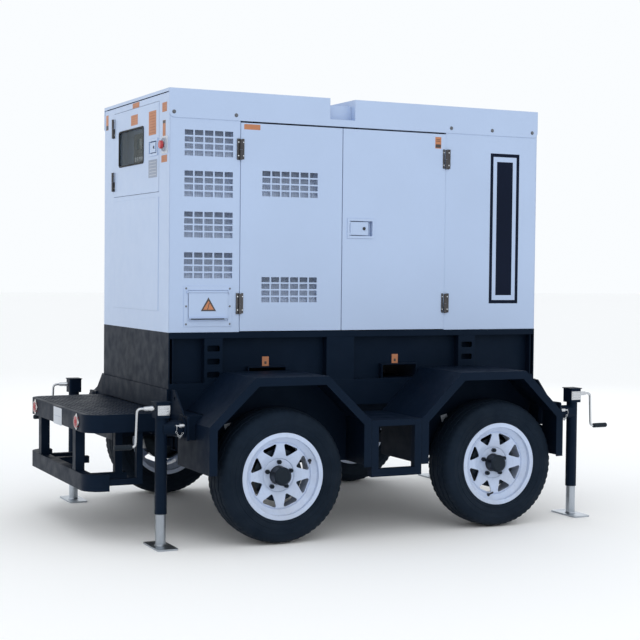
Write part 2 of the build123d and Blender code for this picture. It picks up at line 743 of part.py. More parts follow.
def tail_lamps():
    """Two round lamps with bezels, screwed to the deck fascia."""
    face = REAR - DECK_REACH
    level = DECK_TOP - DECK_FASCIA / 2
    lamps = []
    for side in SIDES.values():
        lens = rod_x(face - LAMP_DEPTH, face, side * LAMP_Y, level, LAMP_R - 14)
        bezel = Rot(45, 0, 0) * Box(6, LAMP_R * 1.36, LAMP_R * 1.36)
        bezel = fillet(bezel.edges().filter_by(Axis.X), 5)
        bezel = Pos(face - 3, side * LAMP_Y, level) * bezel
        lamps.append(lens + bezel)
    return Compound(lamps)


# ---- jacks ------------------------------------------------------------------
def jack_body(end, side):
    """Outer tube, gear head, swivel flange and pivot of one jack."""
    x = JACK_XS[end]
    y = side * JACK_Y
    inward = 1 if end == 0 else -1
    tube = rod_z(x, y, JACK_TUBE_BOTTOM, JACK_TUBE_TOP, JACK_TUBE_R)
    head_x, head_y, head_z = JACK_HEAD
    half_x = head_x / 2
    half_y = head_y / 2
    head = block(x - half_x, x + half_x, y - half_y, y + half_y, JACK_TUBE_TOP, JACK_TUBE_TOP + head_z)
    head = fillet(head.edges().filter_by(Axis.Z), 10)
    mount_face = x + inward * JACK_SETOUT
    neck = rod_x(x, mount_face - inward * 11, y, JACK_PIVOT_Z, 36)
    flange = rod_x(mount_face - inward * 11, mount_face - inward, y, JACK_PIVOT_Z, JACK_FLANGE_R)
    pivot = rod_x(mount_face - inward * 11, mount_face + inward * 36, y, JACK_PIVOT_Z, JACK_PIVOT_R)
    body = tube + head + neck + flange + pivot
    bore = rod_z(x, y, JACK_TUBE_BOTTOM - 1, JACK_TUBE_TOP - 6, JACK_BORE_R)
    away = -inward
    shaft = rod_x(x + away * 10, x + away * (half_x + 1), y, CRANK_LEVEL, CRANK_ROD_R + SPINDLE_FIT)
    return body - bore - shaft


def jack_leg(end, side):
    """The sliding inner leg with its foot plate."""
    x = JACK_XS[end]
    y = side * JACK_Y
    foot_x, foot_y, foot_z = JACK_FOOT
    foot = block(x - foot_x / 2, x + foot_x / 2, y - foot_y / 2, y + foot_y / 2, 0, foot_z)
    foot = fillet(foot.edges().filter_by(Axis.Z), 12)
    leg = rod_z(x, y, foot_z, JACK_LEG_LENGTH, JACK_LEG_R)
    weld = Pos(x, y, foot_z + 3) * Cone(JACK_LEG_R + 6, JACK_LEG_R, 6)
    return foot + leg + weld


def jack_crank(end, side):
    """The cranked handle of one jack: shaft, arm and grip."""
    x = JACK_XS[end]
    y = side * JACK_Y
    away = -1 if end == 0 else 1
    start = x + away * 12
    bend = x + away * CRANK_REACH
    tip = x + away * CRANK_TIP
    low = CRANK_LEVEL - CRANK_ARM
    shaft = rod_x(start, bend, y, CRANK_LEVEL, CRANK_ROD_R)
    sleeve = rod_x(x + away * (JACK_HEAD[0] / 2 + 2), x + away * (CRANK_REACH - 26), y, CRANK_LEVEL, 12)
    arm = rod_z(bend, y, low, CRANK_LEVEL, CRANK_ROD_R)
    corner = Pos(bend, y, CRANK_LEVEL) * Sphere(CRANK_ROD_R)
    elbow = Pos(bend, y, low) * Sphere(CRANK_ROD_R)
    grip = rod_x(bend + away * 8, tip, y, low, CRANK_GRIP_R)
    pin = rod_x(bend, bend + away * 10, y, low, CRANK_ROD_R)
    return shaft + sleeve + arm + corner + elbow + pin + grip


# ---- base -------------------------------------------------------------------
def fork_pocket(x, inset):
    """One fork tunnel, drawn in by an inset."""
    half = FORK_POCKET_WIDTH / 2 - inset
    reach = SIDE - 12 if inset == 0 else SIDE + 5
    top = POCKET_BOTTOM + FORK_POCKET_HEIGHT - inset
    return block(x - half, x + half, -reach, reach, POCKET_BOTTOM + inset, top)


def base_post(x0, width, side, slotted):
    """One upright plate between the flange and the top rail."""
    outer = side * (SIDE - 1)
    inner = side * (SIDE - BASE_RECESS - BASE_PLATE)
    post = block(x0, x0 + width, inner, outer, BASE_BOTTOM + BASE_FLANGE, BASE_TOP - BASE_TOP_RAIL)
    post = post - block(x0 + 6, x0 + width - 6, inner - side, outer - side * 6, BASE_BOTTOM, BASE_TOP)
    if slotted:
        slot_width, slot_height = POST_SLOT
        middle = x0 + width / 2
        first = BASE_BOTTOM + BASE_FLANGE + 25
        for number in range(3):
            z = first + number * POST_SLOT_PITCH
            half = slot_width / 2
            slot = block(middle - half, middle + half, outer + side, outer - side * 8, z, z + slot_height)
            post = post - fillet(slot.edges().filter_by(Axis.Y), 8)
    return post


def base_frame():
    """The fabricated skid: flanges, recessed webs, end plates, posts and fork tunnels."""
    web_y = SIDE - BASE_RECESS
    parts = []
    ring_low = block(REAR, FRONT, -SIDE, SIDE, BASE_BOTTOM, BASE_BOTTOM + BASE_FLANGE)
    lip = BASE_PLATE
    low = BASE_BOTTOM + lip
    ring_low = ring_low - block(REAR + lip, FRONT - lip, lip - web_y, web_y - lip, low, BASE_BOTTOM + 90)
    ring_high = block(REAR, FRONT, -SIDE, SIDE, BASE_TOP - BASE_TOP_RAIL, BASE_TOP)
    high = BASE_TOP - lip
    ring_high = ring_high - block(REAR + lip, FRONT - lip, lip - SIDE, SIDE - lip, BASE_TOP - 60, high)
    ring_high = ring_high - block(REAR + 60, FRONT - 60, -web_y + 60, web_y - 60, BASE_TOP - 60, BASE_TOP + 1)
    parts.append(ring_low)
    parts.append(ring_high)
    for side in SIDES.values():
        y0 = side * web_y
        parts.append(block(REAR, FRONT, y0, y0 - side * BASE_PLATE, BASE_BOTTOM + lip, BASE_TOP - lip))
        rear_post = REAR + POST_FROM_ENDS[0]
        front_post = FRONT - POST_FROM_ENDS[1] - POST_WIDTHS[1]
        parts.append(base_post(rear_post, POST_WIDTHS[0], side, True))
        parts.append(base_post(front_post, POST_WIDTHS[1], side, True))
        parts.append(base_post(REAR + CENTRE_PLATE_START, CENTRE_PLATE_WIDTH, side, False))
        for x in (REAR + 20, FRONT - 26):
            shelf = BASE_TOP - BASE_TOP_RAIL
            parts.append(block(x, x + 6, y0, side * (SIDE - 2), BASE_BOTTOM + BASE_FLANGE, shelf))
    for x in (REAR, FRONT - BASE_PLATE):
        parts.append(block(x, x + BASE_PLATE, -SIDE, SIDE, BASE_BOTTOM, BASE_TOP))
    for x in bearer_xs():
        parts.append(block(x - 30, x + 30, -web_y, web_y, BASE_TOP - BASE_TOP_RAIL, BASE_TOP))
    parts.append(fork_pocket(POCKET_XS[0], 0))
    parts.append(fork_pocket(POCKET_XS[1], 0))
    frame = parts[0].fuse(*parts[1:])
    for x in POCKET_XS:
        frame = frame - fork_pocket(x, BASE_PLATE)
    return frame


def bearer_xs():
    """The cross bearers under the alternator feet, the engine feet and the radiator."""
    alternator_foot = REAR + ALTERNATOR_START + ALTERNATOR_LENGTH / 2
    return (alternator_foot, ENGINE_START + 120, ENGINE_END - 90, radiator_x() + RADIATOR_SIZE[0] / 2)


def radiator_x():
    """The rear face of the radiator."""
    return ENGINE_END + 200


def fuel_tank():
    """A closed tank between the fork tunnels, with a filler neck."""
    pocket_half = FORK_POCKET_WIDTH / 2
    x0 = POCKET_XS[0] + pocket_half + TANK_CLEARANCE
    x1 = POCKET_XS[1] - pocket_half - TANK_CLEARANCE
    y1 = SIDE - BASE_RECESS - BASE_PLATE - 60
    z0 = BASE_BOTTOM + BASE_PLATE + TANK_CLEARANCE
    z1 = BASE_TOP - BASE_TOP_RAIL - TANK_CLEARANCE
    tank = block(x0, x1, -y1, y1, z0, z1)
    tank = fillet(tank.edges().filter_by(Axis.X), 20)
    wall = TANK_WALL
    return tank - block(x0 + wall, x1 - wall, wall - y1, y1 - wall, z0 + wall, z1 - wall)


# ---- canopy panels ----------------------------------------------------------
def canopy_side_panel(x0, x1, side):
    """One fixed folded side panel, running up behind the roof skirt."""
    top = ROOF_TOP - SHEET - ROOF_GAP
    outer = side * WALL_Y
    panel = block(x0, x1, outer, outer - side * PANEL_FOLD, BASE_TOP, top)
    hollow = block(
        x0 + SHEET,
        x1 - SHEET,
        outer - side * SHEET,
        outer - side * (PANEL_FOLD + 1),
        BASE_TOP + SHEET,
        top - SHEET,
    )
    return panel - hollow


def side_panels():
    """Four fixed side panels; the rear pair has louvres and the right one the cable outlet."""
    solids = []
    for side in SIDES.values():
        rear = canopy_side_panel(REAR + END_WALL, REAR + REAR_PANEL_LENGTH, side)
        low = side * (WALL_Y - 2 * SHEET)
        high = side * (WALL_Y + SHEET)
        cutters = []
        for group in range(SIDE_LOUVRE_GROUPS):
            z = BASE_TOP + SIDE_LOUVRE_BOTTOM + group * SIDE_LOUVRE_PITCH
            cutters += slot_grid(REAR + SIDE_LOUVRE_START, z, SIDE_LOUVRE_COLUMNS, low, high)
        if side == SIDES["right"]:
            x, z = flap_corner()
            cutters.append(block(x + 15, x + FLAP_WIDTH - 15, low, high, z + 6, z + FLAP_HEIGHT - 25))
        solids.append(rear.cut(*cutters))
        solids.append(canopy_side_panel(FRONT - FRONT_PANEL_LENGTH, FRONT - END_WALL, side))
    return Compound(solids)


def roof():
    """The roof pan: top sheet, deep side skirts, end lips and the lifting recess."""
    t = SHEET
    pan = block(REAR - PANEL_INSET, FRONT + PANEL_INSET, -SIDE, SIDE, SKIRT_BOTTOM, ROOF_TOP)
    pan = pan - block(REAR - 10, FRONT + 10, t - SIDE, SIDE - t, SKIRT_BOTTOM - 1, ROOF_TOP - t)
    corners = pan.edges().filter_by(Axis.Y)
    corners = [edge for edge in corners if abs(edge.center().Z - SKIRT_BOTTOM) < 1]
    pan = fillet(corners, ROOF_CORNER)
    for x in (REAR - PANEL_INSET, FRONT + PANEL_INSET - t):
        pan = pan + block(x, x + t, -SIDE, SIDE, ROOF_TOP - ROOF_LIP, ROOF_TOP)
    x0 = REAR + RECESS_START
    x1 = x0 + RECESS_WIDTH
    floor = ROOF_TOP - TROUGH_DEPTH
    pan = pan + block(x0 - t, x1 + t, -SIDE, SIDE, floor - t, ROOF_TOP)
    pan = pan - block(x0, x1, -SIDE - 1, SIDE + 1, floor, ROOF_TOP + 1)
    for side in SIDES.values():
        outer = side * SIDE
        inner = side * (SIDE - POCKET_REACH)
        low = ROOF_TOP - POCKET_DEPTH
        pan = pan + block(x0 - t, x1 + t, outer, inner - side * t, low - t, floor)
        pan = pan - block(x0, x1, outer + side, inner, low, ROOF_TOP + 1)
    half = WELL_LENGTH / 2
    low = ROOF_TOP - WELL_DEPTH
    pan = pan + block(x0 - t, x1 + t, -half - t, half + t, low - t, floor)
    pan = pan - block(x0, x1, -half, half, low, ROOF_TOP + 1)
    return pan


def lifting_eye():
    """A plate with a shackle bore that stands in the roof's well, on a cross bar below it."""
    x = REAR + RECESS_START + RECESS_WIDTH / 2
    bottom = ROOF_TOP - WELL_DEPTH
    centre = ROOF_TOP - TROUGH_DEPTH - EYE_OUTER_R + 20
    half = EYE_PLATE / 2
    plate = block(x - EYE_OUTER_R, x + EYE_OUTER_R, -half, half, bottom, centre)
    plate = plate + rod_y(x, -half, half, centre, EYE_OUTER_R)
    foot = block(x - EYE_OUTER_R - 8, x + EYE_OUTER_R + 8, -45, 45, bottom, bottom + 10)
    eye = plate + foot
    return eye - rod_y(x, -half - 1, half + 1, centre, EYE_BORE_R)


def rear_panel():
    """The rear wall: opening for the control door and a lapped service cover below it."""
    top = ROOF_TOP - ROOF_LIP - ROOF_GAP
    panel = block(REAR, REAR + SHEET, -WALL_Y, WALL_Y, BASE_TOP, top)
    half_gap = DOOR_GAP / 2
    opening = block(
        REAR - 1,
        REAR + SHEET + 1,
        CONTROL_DOOR_FREE_SIDE - half_gap,
        CONTROL_DOOR_HINGE_SIDE + half_gap,
        CONTROL_DOOR_BOTTOM - half_gap,
        CONTROL_DOOR_TOP + half_gap,
    )
    bottom = BASE_TOP + SERVICE_PANEL_LEVEL
    cover = block(
        REAR - 2,
        REAR,
        CONTROL_DOOR_FREE_SIDE,
        CONTROL_DOOR_HINGE_SIDE,
        bottom,
        bottom + SERVICE_PANEL_HEIGHT,
    )
    button_hole = rod_x(REAR - 1, REAR + SHEET + 1, E_STOP_Y, BASE_TOP + E_STOP_LEVEL, 12)
    return panel - opening + cover - button_hole


def front_panel():
    """The front wall with the hot-air discharge louvres."""
    top = ROOF_TOP - ROOF_LIP - ROOF_GAP
    panel = block(FRONT - SHEET, FRONT, -WALL_Y, WALL_Y, BASE_TOP, top)
    columns = int((2 * WALL_Y - 160) / SLOT_PITCH_X)
    first_y = -(columns - 1) * SLOT_PITCH_X / 2 - SLOT_WIDTH / 2
    cutters = []
    for group in range(SIDE_LOUVRE_GROUPS):
        for row in range(LOUVRE_ROWS):
            z = BASE_TOP + SIDE_LOUVRE_BOTTOM + group * SIDE_LOUVRE_PITCH + row * SLOT_PITCH_Z
            for column in range(columns):
                y = first_y + column * SLOT_PITCH_X
                cutters.append(block(FRONT - 5, FRONT + 1, y, y + SLOT_WIDTH, z, z + SLOT_HEIGHT))
    return panel.cut(*cutters)


def flap_corner():
    """The lower rear corner (x, z) of the cable-outlet flap."""
    x = REAR + OUTLET_START + (OUTLET_WIDTH - FLAP_WIDTH) / 2
    return x, BASE_TOP + OUTLET_BOTTOM + FLAP_BOTTOM


# ---- hinges, doors and latches ----------------------------------------------
def knuckle(x, y, z0, z1, leaf_to, leaf_axis, leaf_face):
    """A hinge knuckle with a flat leaf; the leaf runs to leaf_to along its axis."""
    barrel = rod_z(x, y, z0, z1, HINGE_KNUCKLE_R)
    if leaf_axis == "x":
        reach = HINGE_LEAF_THICK if leaf_face < y else -HINGE_LEAF_THICK
        leaf = block(x, leaf_to, leaf_face, leaf_face + reach, z0, z1)
        web = block(x - 2, x + 2, leaf_face, y, z0, z1)
    else:
        leaf = block(leaf_face, leaf_face - HINGE_LEAF_THICK, y, leaf_to, z0, z1)
        web = block(leaf_face, x, y - 2, y + 2, z0, z1)
    return barrel + leaf + web


def side_hinge_levels():
    """The lower ends of the two hinges on each side door."""
    start = BASE_TOP - DOOR_HINGE_HEIGHT / 2
    return (start + DOOR_HINGE_LOW, start + DOOR_HINGE_HIGH)


def control_hinge_levels():
    """The lower ends of the two hinges on the control door."""
    return (CONTROL_DOOR_BOTTOM + 30, CONTROL_DOOR_TOP - 126)


def door_hinges():
    """The fixed half of every hinge: lower knuckle, leaf and pin."""
    solids = []
    half = DOOR_HINGE_HEIGHT / 2
    for side in SIDES.values():
        for x, away in ((REAR_HINGE_X, -1), (FRONT_HINGE_X, 1)):
            for z in side_hinge_levels():
                y = side * HINGE_Y
                fixed = knuckle(x, y, z, z + half - 0.5, x + away * HINGE_LEAF, "x", side * WALL_Y)
                solids.append(fixed + rod_z(x, y, z, z + 2 * half, HINGE_PIN_R))
    for z in control_hinge_levels():
        y = CONTROL_HINGE_Y
        fixed = knuckle(CONTROL_HINGE_X, y, z, z + half - 0.5, y + HINGE_LEAF, "y", REAR)
        solids.append(fixed + rod_z(CONTROL_HINGE_X, y, z, z + 2 * half, HINGE_PIN_R))
    return Compound(solids)


def side_door(x0, x1, hinge_x, latched, side):
    """One folded pan door with its hinge halves and louvres or latch opening."""
    outer = side * SIDE
    inner = side * (SIDE - PANEL_FOLD)
    pan = block(x0, x1, outer, inner, DOOR_BOTTOM, DOOR_TOP)
    hollow = block(
        x0 + SHEET,
        x1 - SHEET,
        outer - side * SHEET,
        inner - side,
        DOOR_BOTTOM + SHEET,
        DOOR_TOP - SHEET,
    )
    door = pan - hollow
    y_low = outer - side * (2 * SHEET)
    y_high = outer + side * SHEET
    if latched:
        lx0, lx1, lz0, lz1 = latch_box()
        door = door - block(lx0 + LATCH_RIM, lx1 - LATCH_RIM, y_low, y_high, lz0 + LATCH_RIM, lz1 - LATCH_RIM)
        door = door + latch_pan(side)
    else:
        cutters = []
        for level in (DOOR_LOUVRE_LOW, DOOR_LOUVRE_HIGH):
            start = x0 + DOOR_LOUVRE_START
            cutters += slot_grid(start, BASE_TOP + level, DOOR_LOUVRE_COLUMNS, y_low, y_high)
        door = door.cut(*cutters)
    half = DOOR_HINGE_HEIGHT / 2
    toward = 1 if hinge_x < x0 else -1
    for z in side_hinge_levels():
        y = side * HINGE_Y
        moving = knuckle(hinge_x, y, z + half, z + 2 * half, hinge_x + toward * HINGE_LEAF, "x", outer)
        bore = rod_z(hinge_x, y, z + half - 1, z + 2 * half + 1, HINGE_PIN_R + HINGE_FIT)
        door = door + moving - bore
        door = door - rod_z(hinge_x, y, z - 1, z + half, HINGE_KNUCKLE_R + 0.6)
    return door


def latch_box():
    """The outline (x0, x1, z0, z1) of the side latch frame."""
    x0 = FRONT_DOOR_START + LATCH_FROM_SPLIT
    z0 = BASE_TOP + LATCH_LEVEL - LATCH_HEIGHT / 2
    return x0, x0 + LATCH_WIDTH, z0, z0 + LATCH_HEIGHT


def latch_pan(side):
    """The recessed latch body: proud rim, pan and back, with a pivot pin for the paddle."""
    x0, x1, z0, z1 = latch_box()
    face = side * (SIDE + LATCH_PROUD)
    back = side * (SIDE - LATCH_PAN)
    body = block(x0, x1, face, side * SIDE, z0, z1)
    low = z0 + LATCH_RIM
    high = z1 - LATCH_RIM
    body = body + block(x0 + LATCH_RIM - 2, x1 - LATCH_RIM + 2, side * SIDE, back, low - 2, high + 2)
    body = body - block(x0 + LATCH_RIM, x1 - LATCH_RIM, face + side, back + side * 2, low, high)
    px, py = paddle_pivot(side)
    return body + rod_z(px, py, z0 + LATCH_RIM - 1, z1 - LATCH_RIM + 1, HINGE_PIN_R)


def paddle_pivot(side):
    """The paddle's hinge line (x, y) at the rear edge of the latch pan."""
    x0 = latch_box()[0]
    return x0 + LATCH_RIM + 9, side * (SIDE - 4)


def latch_paddle(side):
    """The pull paddle: a plate on a knuckle that turns on the pan's pin."""
    px, py = paddle_pivot(side)
    z0 = latch_box()[2] + LATCH_HEIGHT / 2 - PADDLE_HEIGHT / 2
    z1 = z0 + PADDLE_HEIGHT
    plate = block(px, px + PADDLE_LENGTH - 9, side * (SIDE + 1), side * (SIDE + 1 - PADDLE_THICK), z0, z1)
    plate = plate + rod_z(px, py, z0, z1, 5.5)
    lock = rod_y(px + PADDLE_LENGTH - 24, side * (SIDE - 14), side * (SIDE + 3), (z0 + z1) / 2, 9)
    return plate + lock - rod_z(px, py, z0 - 1, z1 + 1, HINGE_PIN_R + HINGE_FIT)


def control_latch_box():
    """The outline (y0, y1, z0, z1) of the control door's latch frame."""
    y0 = CONTROL_DOOR_FREE_SIDE + CONTROL_LATCH_FROM_EDGE
    z0 = CONTROL_DOOR_BOTTOM + CONTROL_LATCH_FROM_BOTTOM
    return y0, y0 + CONTROL_LATCH_WIDTH, z0, z0 + CONTROL_LATCH_HEIGHT


def control_paddle_pivot():
    """The control paddle's hinge line (x, y)."""
    return REAR + 3, control_latch_box()[1] - LATCH_RIM - 9


def control_door():
    """The control door: folded pan, window opening, latch pan and hinge halves."""
    y0 = CONTROL_DOOR_FREE_SIDE
    y1 = CONTROL_DOOR_HINGE_SIDE
    z0 = CONTROL_DOOR_BOTTOM
    z1 = CONTROL_DOOR_TOP
    depth = PANEL_FOLD / 2
    door = block(REAR - 1, REAR + depth, y0, y1, z0, z1)
    door = door - block(REAR - 1 + SHEET, REAR + depth + 1, y0 + SHEET, y1 - SHEET, z0 + SHEET, z1 - SHEET)
    wy0, wy1, wz0, wz1 = window_box()
    door = door - block(REAR - 2, REAR + SHEET, wy0, wy1, wz0, wz1)
    ly0, ly1, lz0, lz1 = control_latch_box()
    rim_in = LATCH_RIM
    body = block(REAR - 1 - LATCH_PROUD, REAR, ly0, ly1, lz0, lz1)
    low = lz0 + rim_in - 2
    body = body + block(REAR, REAR + LATCH_PAN, ly0 + rim_in - 2, ly1 - rim_in + 2, low, lz1 - rim_in + 2)
    door = door + body
    pan = block(REAR - 10, REAR + LATCH_PAN - 2, ly0 + rim_in, ly1 - rim_in, lz0 + rim_in, lz1 - rim_in)
    door = door - pan
    px, py = control_paddle_pivot()
    door = door + rod_z(px, py, lz0 + rim_in - 1, lz1 - rim_in + 1, HINGE_PIN_R)
    half = DOOR_HINGE_HEIGHT / 2
    for z in control_hinge_levels():
        y = CONTROL_HINGE_Y
        moving = knuckle(CONTROL_HINGE_X, y, z + half, z + 2 * half, y - HINGE_LEAF, "y", REAR - 1)
        door = door + moving
        door = door - rod_z(CONTROL_HINGE_X, y, z + half - 1, z + 2 * half + 1, HINGE_PIN_R + HINGE_FIT)
        door = door - rod_z(CONTROL_HINGE_X, y, z - 1, z + half, HINGE_KNUCKLE_R + 0.6)
    return door


def window_box():
    """The window opening (y0, y1, z0, z1) in the control door."""
    y1 = CONTROL_DOOR_HINGE_SIDE - WINDOW_FROM_HINGE
    z0 = CONTROL_DOOR_BOTTOM + WINDOW_FROM_BOTTOM
    return y1 - WINDOW_WIDTH, y1, z0, z0 + WINDOW_HEIGHT


def control_window():
    """The clear window pane, clamped behind its opening."""
    y0, y1, z0, z1 = window_box()
    x0 = REAR - 1 + SHEET
    lap = WINDOW_LAP
    return block(x0, x0 + WINDOW_THICK, y0 - lap, y1 + lap, z0 - lap, z1 + lap)


def control_paddle():
    """The control door's pull paddle."""
    px, py = control_paddle_pivot()
    z0 = control_latch_box()[2] + LATCH_RIM + 5
    z1 = control_latch_box()[3] - LATCH_RIM - 5
    free = control_latch_box()[0] + LATCH_RIM + 22
    plate = block(REAR - 2, REAR - 2 + PADDLE_THICK, free, py, z0, z1) + rod_z(px, py, z0, z1, 5.0)
    lock = rod_x(REAR - 4, REAR + 12, free + 18, (z0 + z1) / 2, 8)
    return plate + lock - rod_z(px, py, z0 - 1, z1 + 1, HINGE_PIN_R + HINGE_FIT)


def control_panel():
    """The niche behind the control door: side walls, back plate and main breaker."""
    t = SHEET
    x0 = REAR + PANEL_FOLD / 2 + 12
    x1 = REAR + NICHE_DEPTH
    y0 = CONTROL_DOOR_FREE_SIDE - 20
    y1 = CONTROL_DOOR_HINGE_SIDE + 20
    z0 = CONTROL_DOOR_BOTTOM - 20
    z1 = min(CONTROL_DOOR_TOP + 20, ROOF_TOP - SHEET - ROOF_GAP - 4)
    niche = block(REAR + t + 0.3, x1 + t, y0 - t, y1 + t, z0 - t, z1 + t)
    niche = niche - block(REAR - 1, x1, y0, y1, z0, z1)
    depth, width, height = BREAKER_SIZE
    middle = CONTROL_DOOR_BOTTOM + CONTROLLER_LEVEL
    y = CONTROLLER_Y - CONTROLLER_SIZE[1] / 2 - 60 - width
    x_face = max(x1 - depth, x0)
    breaker = block(x_face, x1, y, y + width, middle - height / 2, middle + height / 2)
    toggle = block(x_face - 8, x_face, y + width / 2 - 14, y + width / 2 + 14, middle - 25, middle + 5)
    return niche + breaker + toggle


def controller():
    """The electronic controller on the niche's back plate."""
    depth, width, height = CONTROLLER_SIZE
    middle = CONTROL_DOOR_BOTTOM + CONTROLLER_LEVEL
    x1 = REAR + NICHE_DEPTH
    y0 = CONTROLLER_Y - width / 2
    case = block(x1 - depth, x1, y0, y0 + width, middle - height / 2, middle + height / 2)
    return fillet(case.edges().filter_by(Axis.X), 14)


def e_stop_collar():
    """The square collar that guides the emergency-stop button."""
    z = BASE_TOP + E_STOP_LEVEL
    half = E_STOP_COLLAR / 2
    plate = block(REAR - 3, REAR, E_STOP_Y - half, E_STOP_Y + half, z - half, z + half)
    plate = fillet(plate.edges().filter_by(Axis.X), 8)
    ring = rod_x(REAR - 10, REAR, E_STOP_Y, z, E_STOP_R + 9)
    sleeve = rod_x(REAR - 10, REAR + 30, E_STOP_Y, z, 11.5)
    return plate + ring + sleeve - rod_x(REAR - 20, REAR + 40, E_STOP_Y, z, 8 + SHAFT_FIT)


def e_stop_button():
    """The mushroom button on its stem."""
    z = BASE_TOP + E_STOP_LEVEL
    rest = REAR - 10 - E_STOP_TRAVEL - 1
    head = rod_x(rest - 14, rest, E_STOP_Y, z, E_STOP_R)
    head = fillet(head.edges().sort_by(Axis.X)[0], 4)
    return head + rod_x(rest, REAR + 20, E_STOP_Y, z, 8)


def outlet_frame():
    """The screwed-on frame of the cable outlet with the flap's fixed pin."""
    x0 = REAR + OUTLET_START
    z0 = BASE_TOP + OUTLET_BOTTOM
    x, z = flap_corner()
    outer = -(WALL_Y + OUTLET_PLATE)
    plate = block(x0, x0 + OUTLET_WIDTH, -WALL_Y, outer, z0, z0 + OUTLET_HEIGHT)
    gap = 1.5
    hole = block(x - gap, x + FLAP_WIDTH + gap, -WALL_Y + 1, outer - 1, z - gap, z + FLAP_HEIGHT + 8)
    plate = plate - hole
    pin = flap_pin()
    bosses = []
    for end in (x - gap, x + FLAP_WIDTH + gap):
        away = -6 if end < x else 6
        bosses.append(block(end, end + away, outer, pin[0] - 5, pin[1] - 6, pin[1] + 6))
    shaft = rod_x(x - gap - 6, x + FLAP_WIDTH + gap + 6, pin[0], pin[1], FLAP_PIN_R)
    return plate + bosses[0] + bosses[1] + shaft


def flap_pin():
    """The flap's hinge line (y, z)."""
    return -(WALL_Y + OUTLET_PLATE + 4), flap_corner()[1] + FLAP_HEIGHT


def outlet_flap():
    """The cable-outlet flap, hinged along its top, with a lip over the cables."""
    x, z = flap_corner()
    y, pin_z = flap_pin()
    plate = block(x, x + FLAP_WIDTH, y - 1, y + 1.5, z + 14, pin_z)
    lip = block(x, x + FLAP_WIDTH, y - 16, y + 1.5, z + 12, z + 14)
    barrel = rod_x(x, x + FLAP_WIDTH, y, pin_z, 5)
    return plate + lip + barrel - rod_x(x - 1, x + FLAP_WIDTH + 1, y, pin_z, FLAP_PIN_R + HINGE_FIT)


# ---- machinery inside the canopy --------------------------------------------
def alternator():
    """Stator shell with end bell, feet and terminal box, bored for the rotor."""
    x0 = REAR + ALTERNATOR_START
    x1 = x0 + ALTERNATOR_LENGTH
    shell = rod_x(x0, x1, 0, SHAFT_Z, ALTERNATOR_R)
    box_z = SHAFT_Z + ALTERNATOR_R - 25
    shell = shell + block(x0 + 40, x1 - 60, -130, 130, box_z, box_z + 150)
    for y in (-1, 1):
        foot = block(x0 + 120, x1 - 120, y * 90, y * 170, BASE_TOP, SHAFT_Z - 90)
        shell = shell + foot
    bore = rod_x(x0 + 50, x1 - 30, 0, SHAFT_Z, ROTOR_R + ROTOR_GAP)
    winding = rod_x(x0 + 50, x1 - 30, 0, SHAFT_Z, ALTERNATOR_R - 12)
    winding = winding - rod_x(x0 + 110, x1 - 90, 0, SHAFT_Z, ALTERNATOR_R)
    end_hole = rod_x(x0 - 1, x1 + 1, 0, SHAFT_Z, SHAFT_R + SHAFT_FIT)
    return shell - bore - winding - end_hole


def crank_train():
    """The one turning shaft: rotor, crankshaft, pulley and cooling fan."""
    x0 = REAR + ALTERNATOR_START
    x1 = x0 + ALTERNATOR_LENGTH
    shaft = rod_x(x0 - 20, ENGINE_END + 130, 0, SHAFT_Z, SHAFT_R)
    rotor = rod_x(x0 + 80, x1 - 60, 0, SHAFT_Z, ROTOR_R)
    pulley = rod_x(ENGINE_END + 20, ENGINE_END + 60, 0, SHAFT_Z, 70)
    train = shaft + rotor + pulley
    hub_disc = rod_x(ENGINE_END + 84, ENGINE_END + 118, 0, SHAFT_Z, 60)
    train = train + hub_disc
    for number in range(7):
        blade = Box(8, 90, FAN_R - 50)
        blade = Rot(0, 0, 35) * blade
        blade = Pos(0, 0, 50 + (FAN_R - 50) / 2) * blade
        blade = Rot(360 * number / 7, 0, 0) * blade
        train = train + Pos(ENGINE_END + 101, 0, SHAFT_Z) * blade
    return train


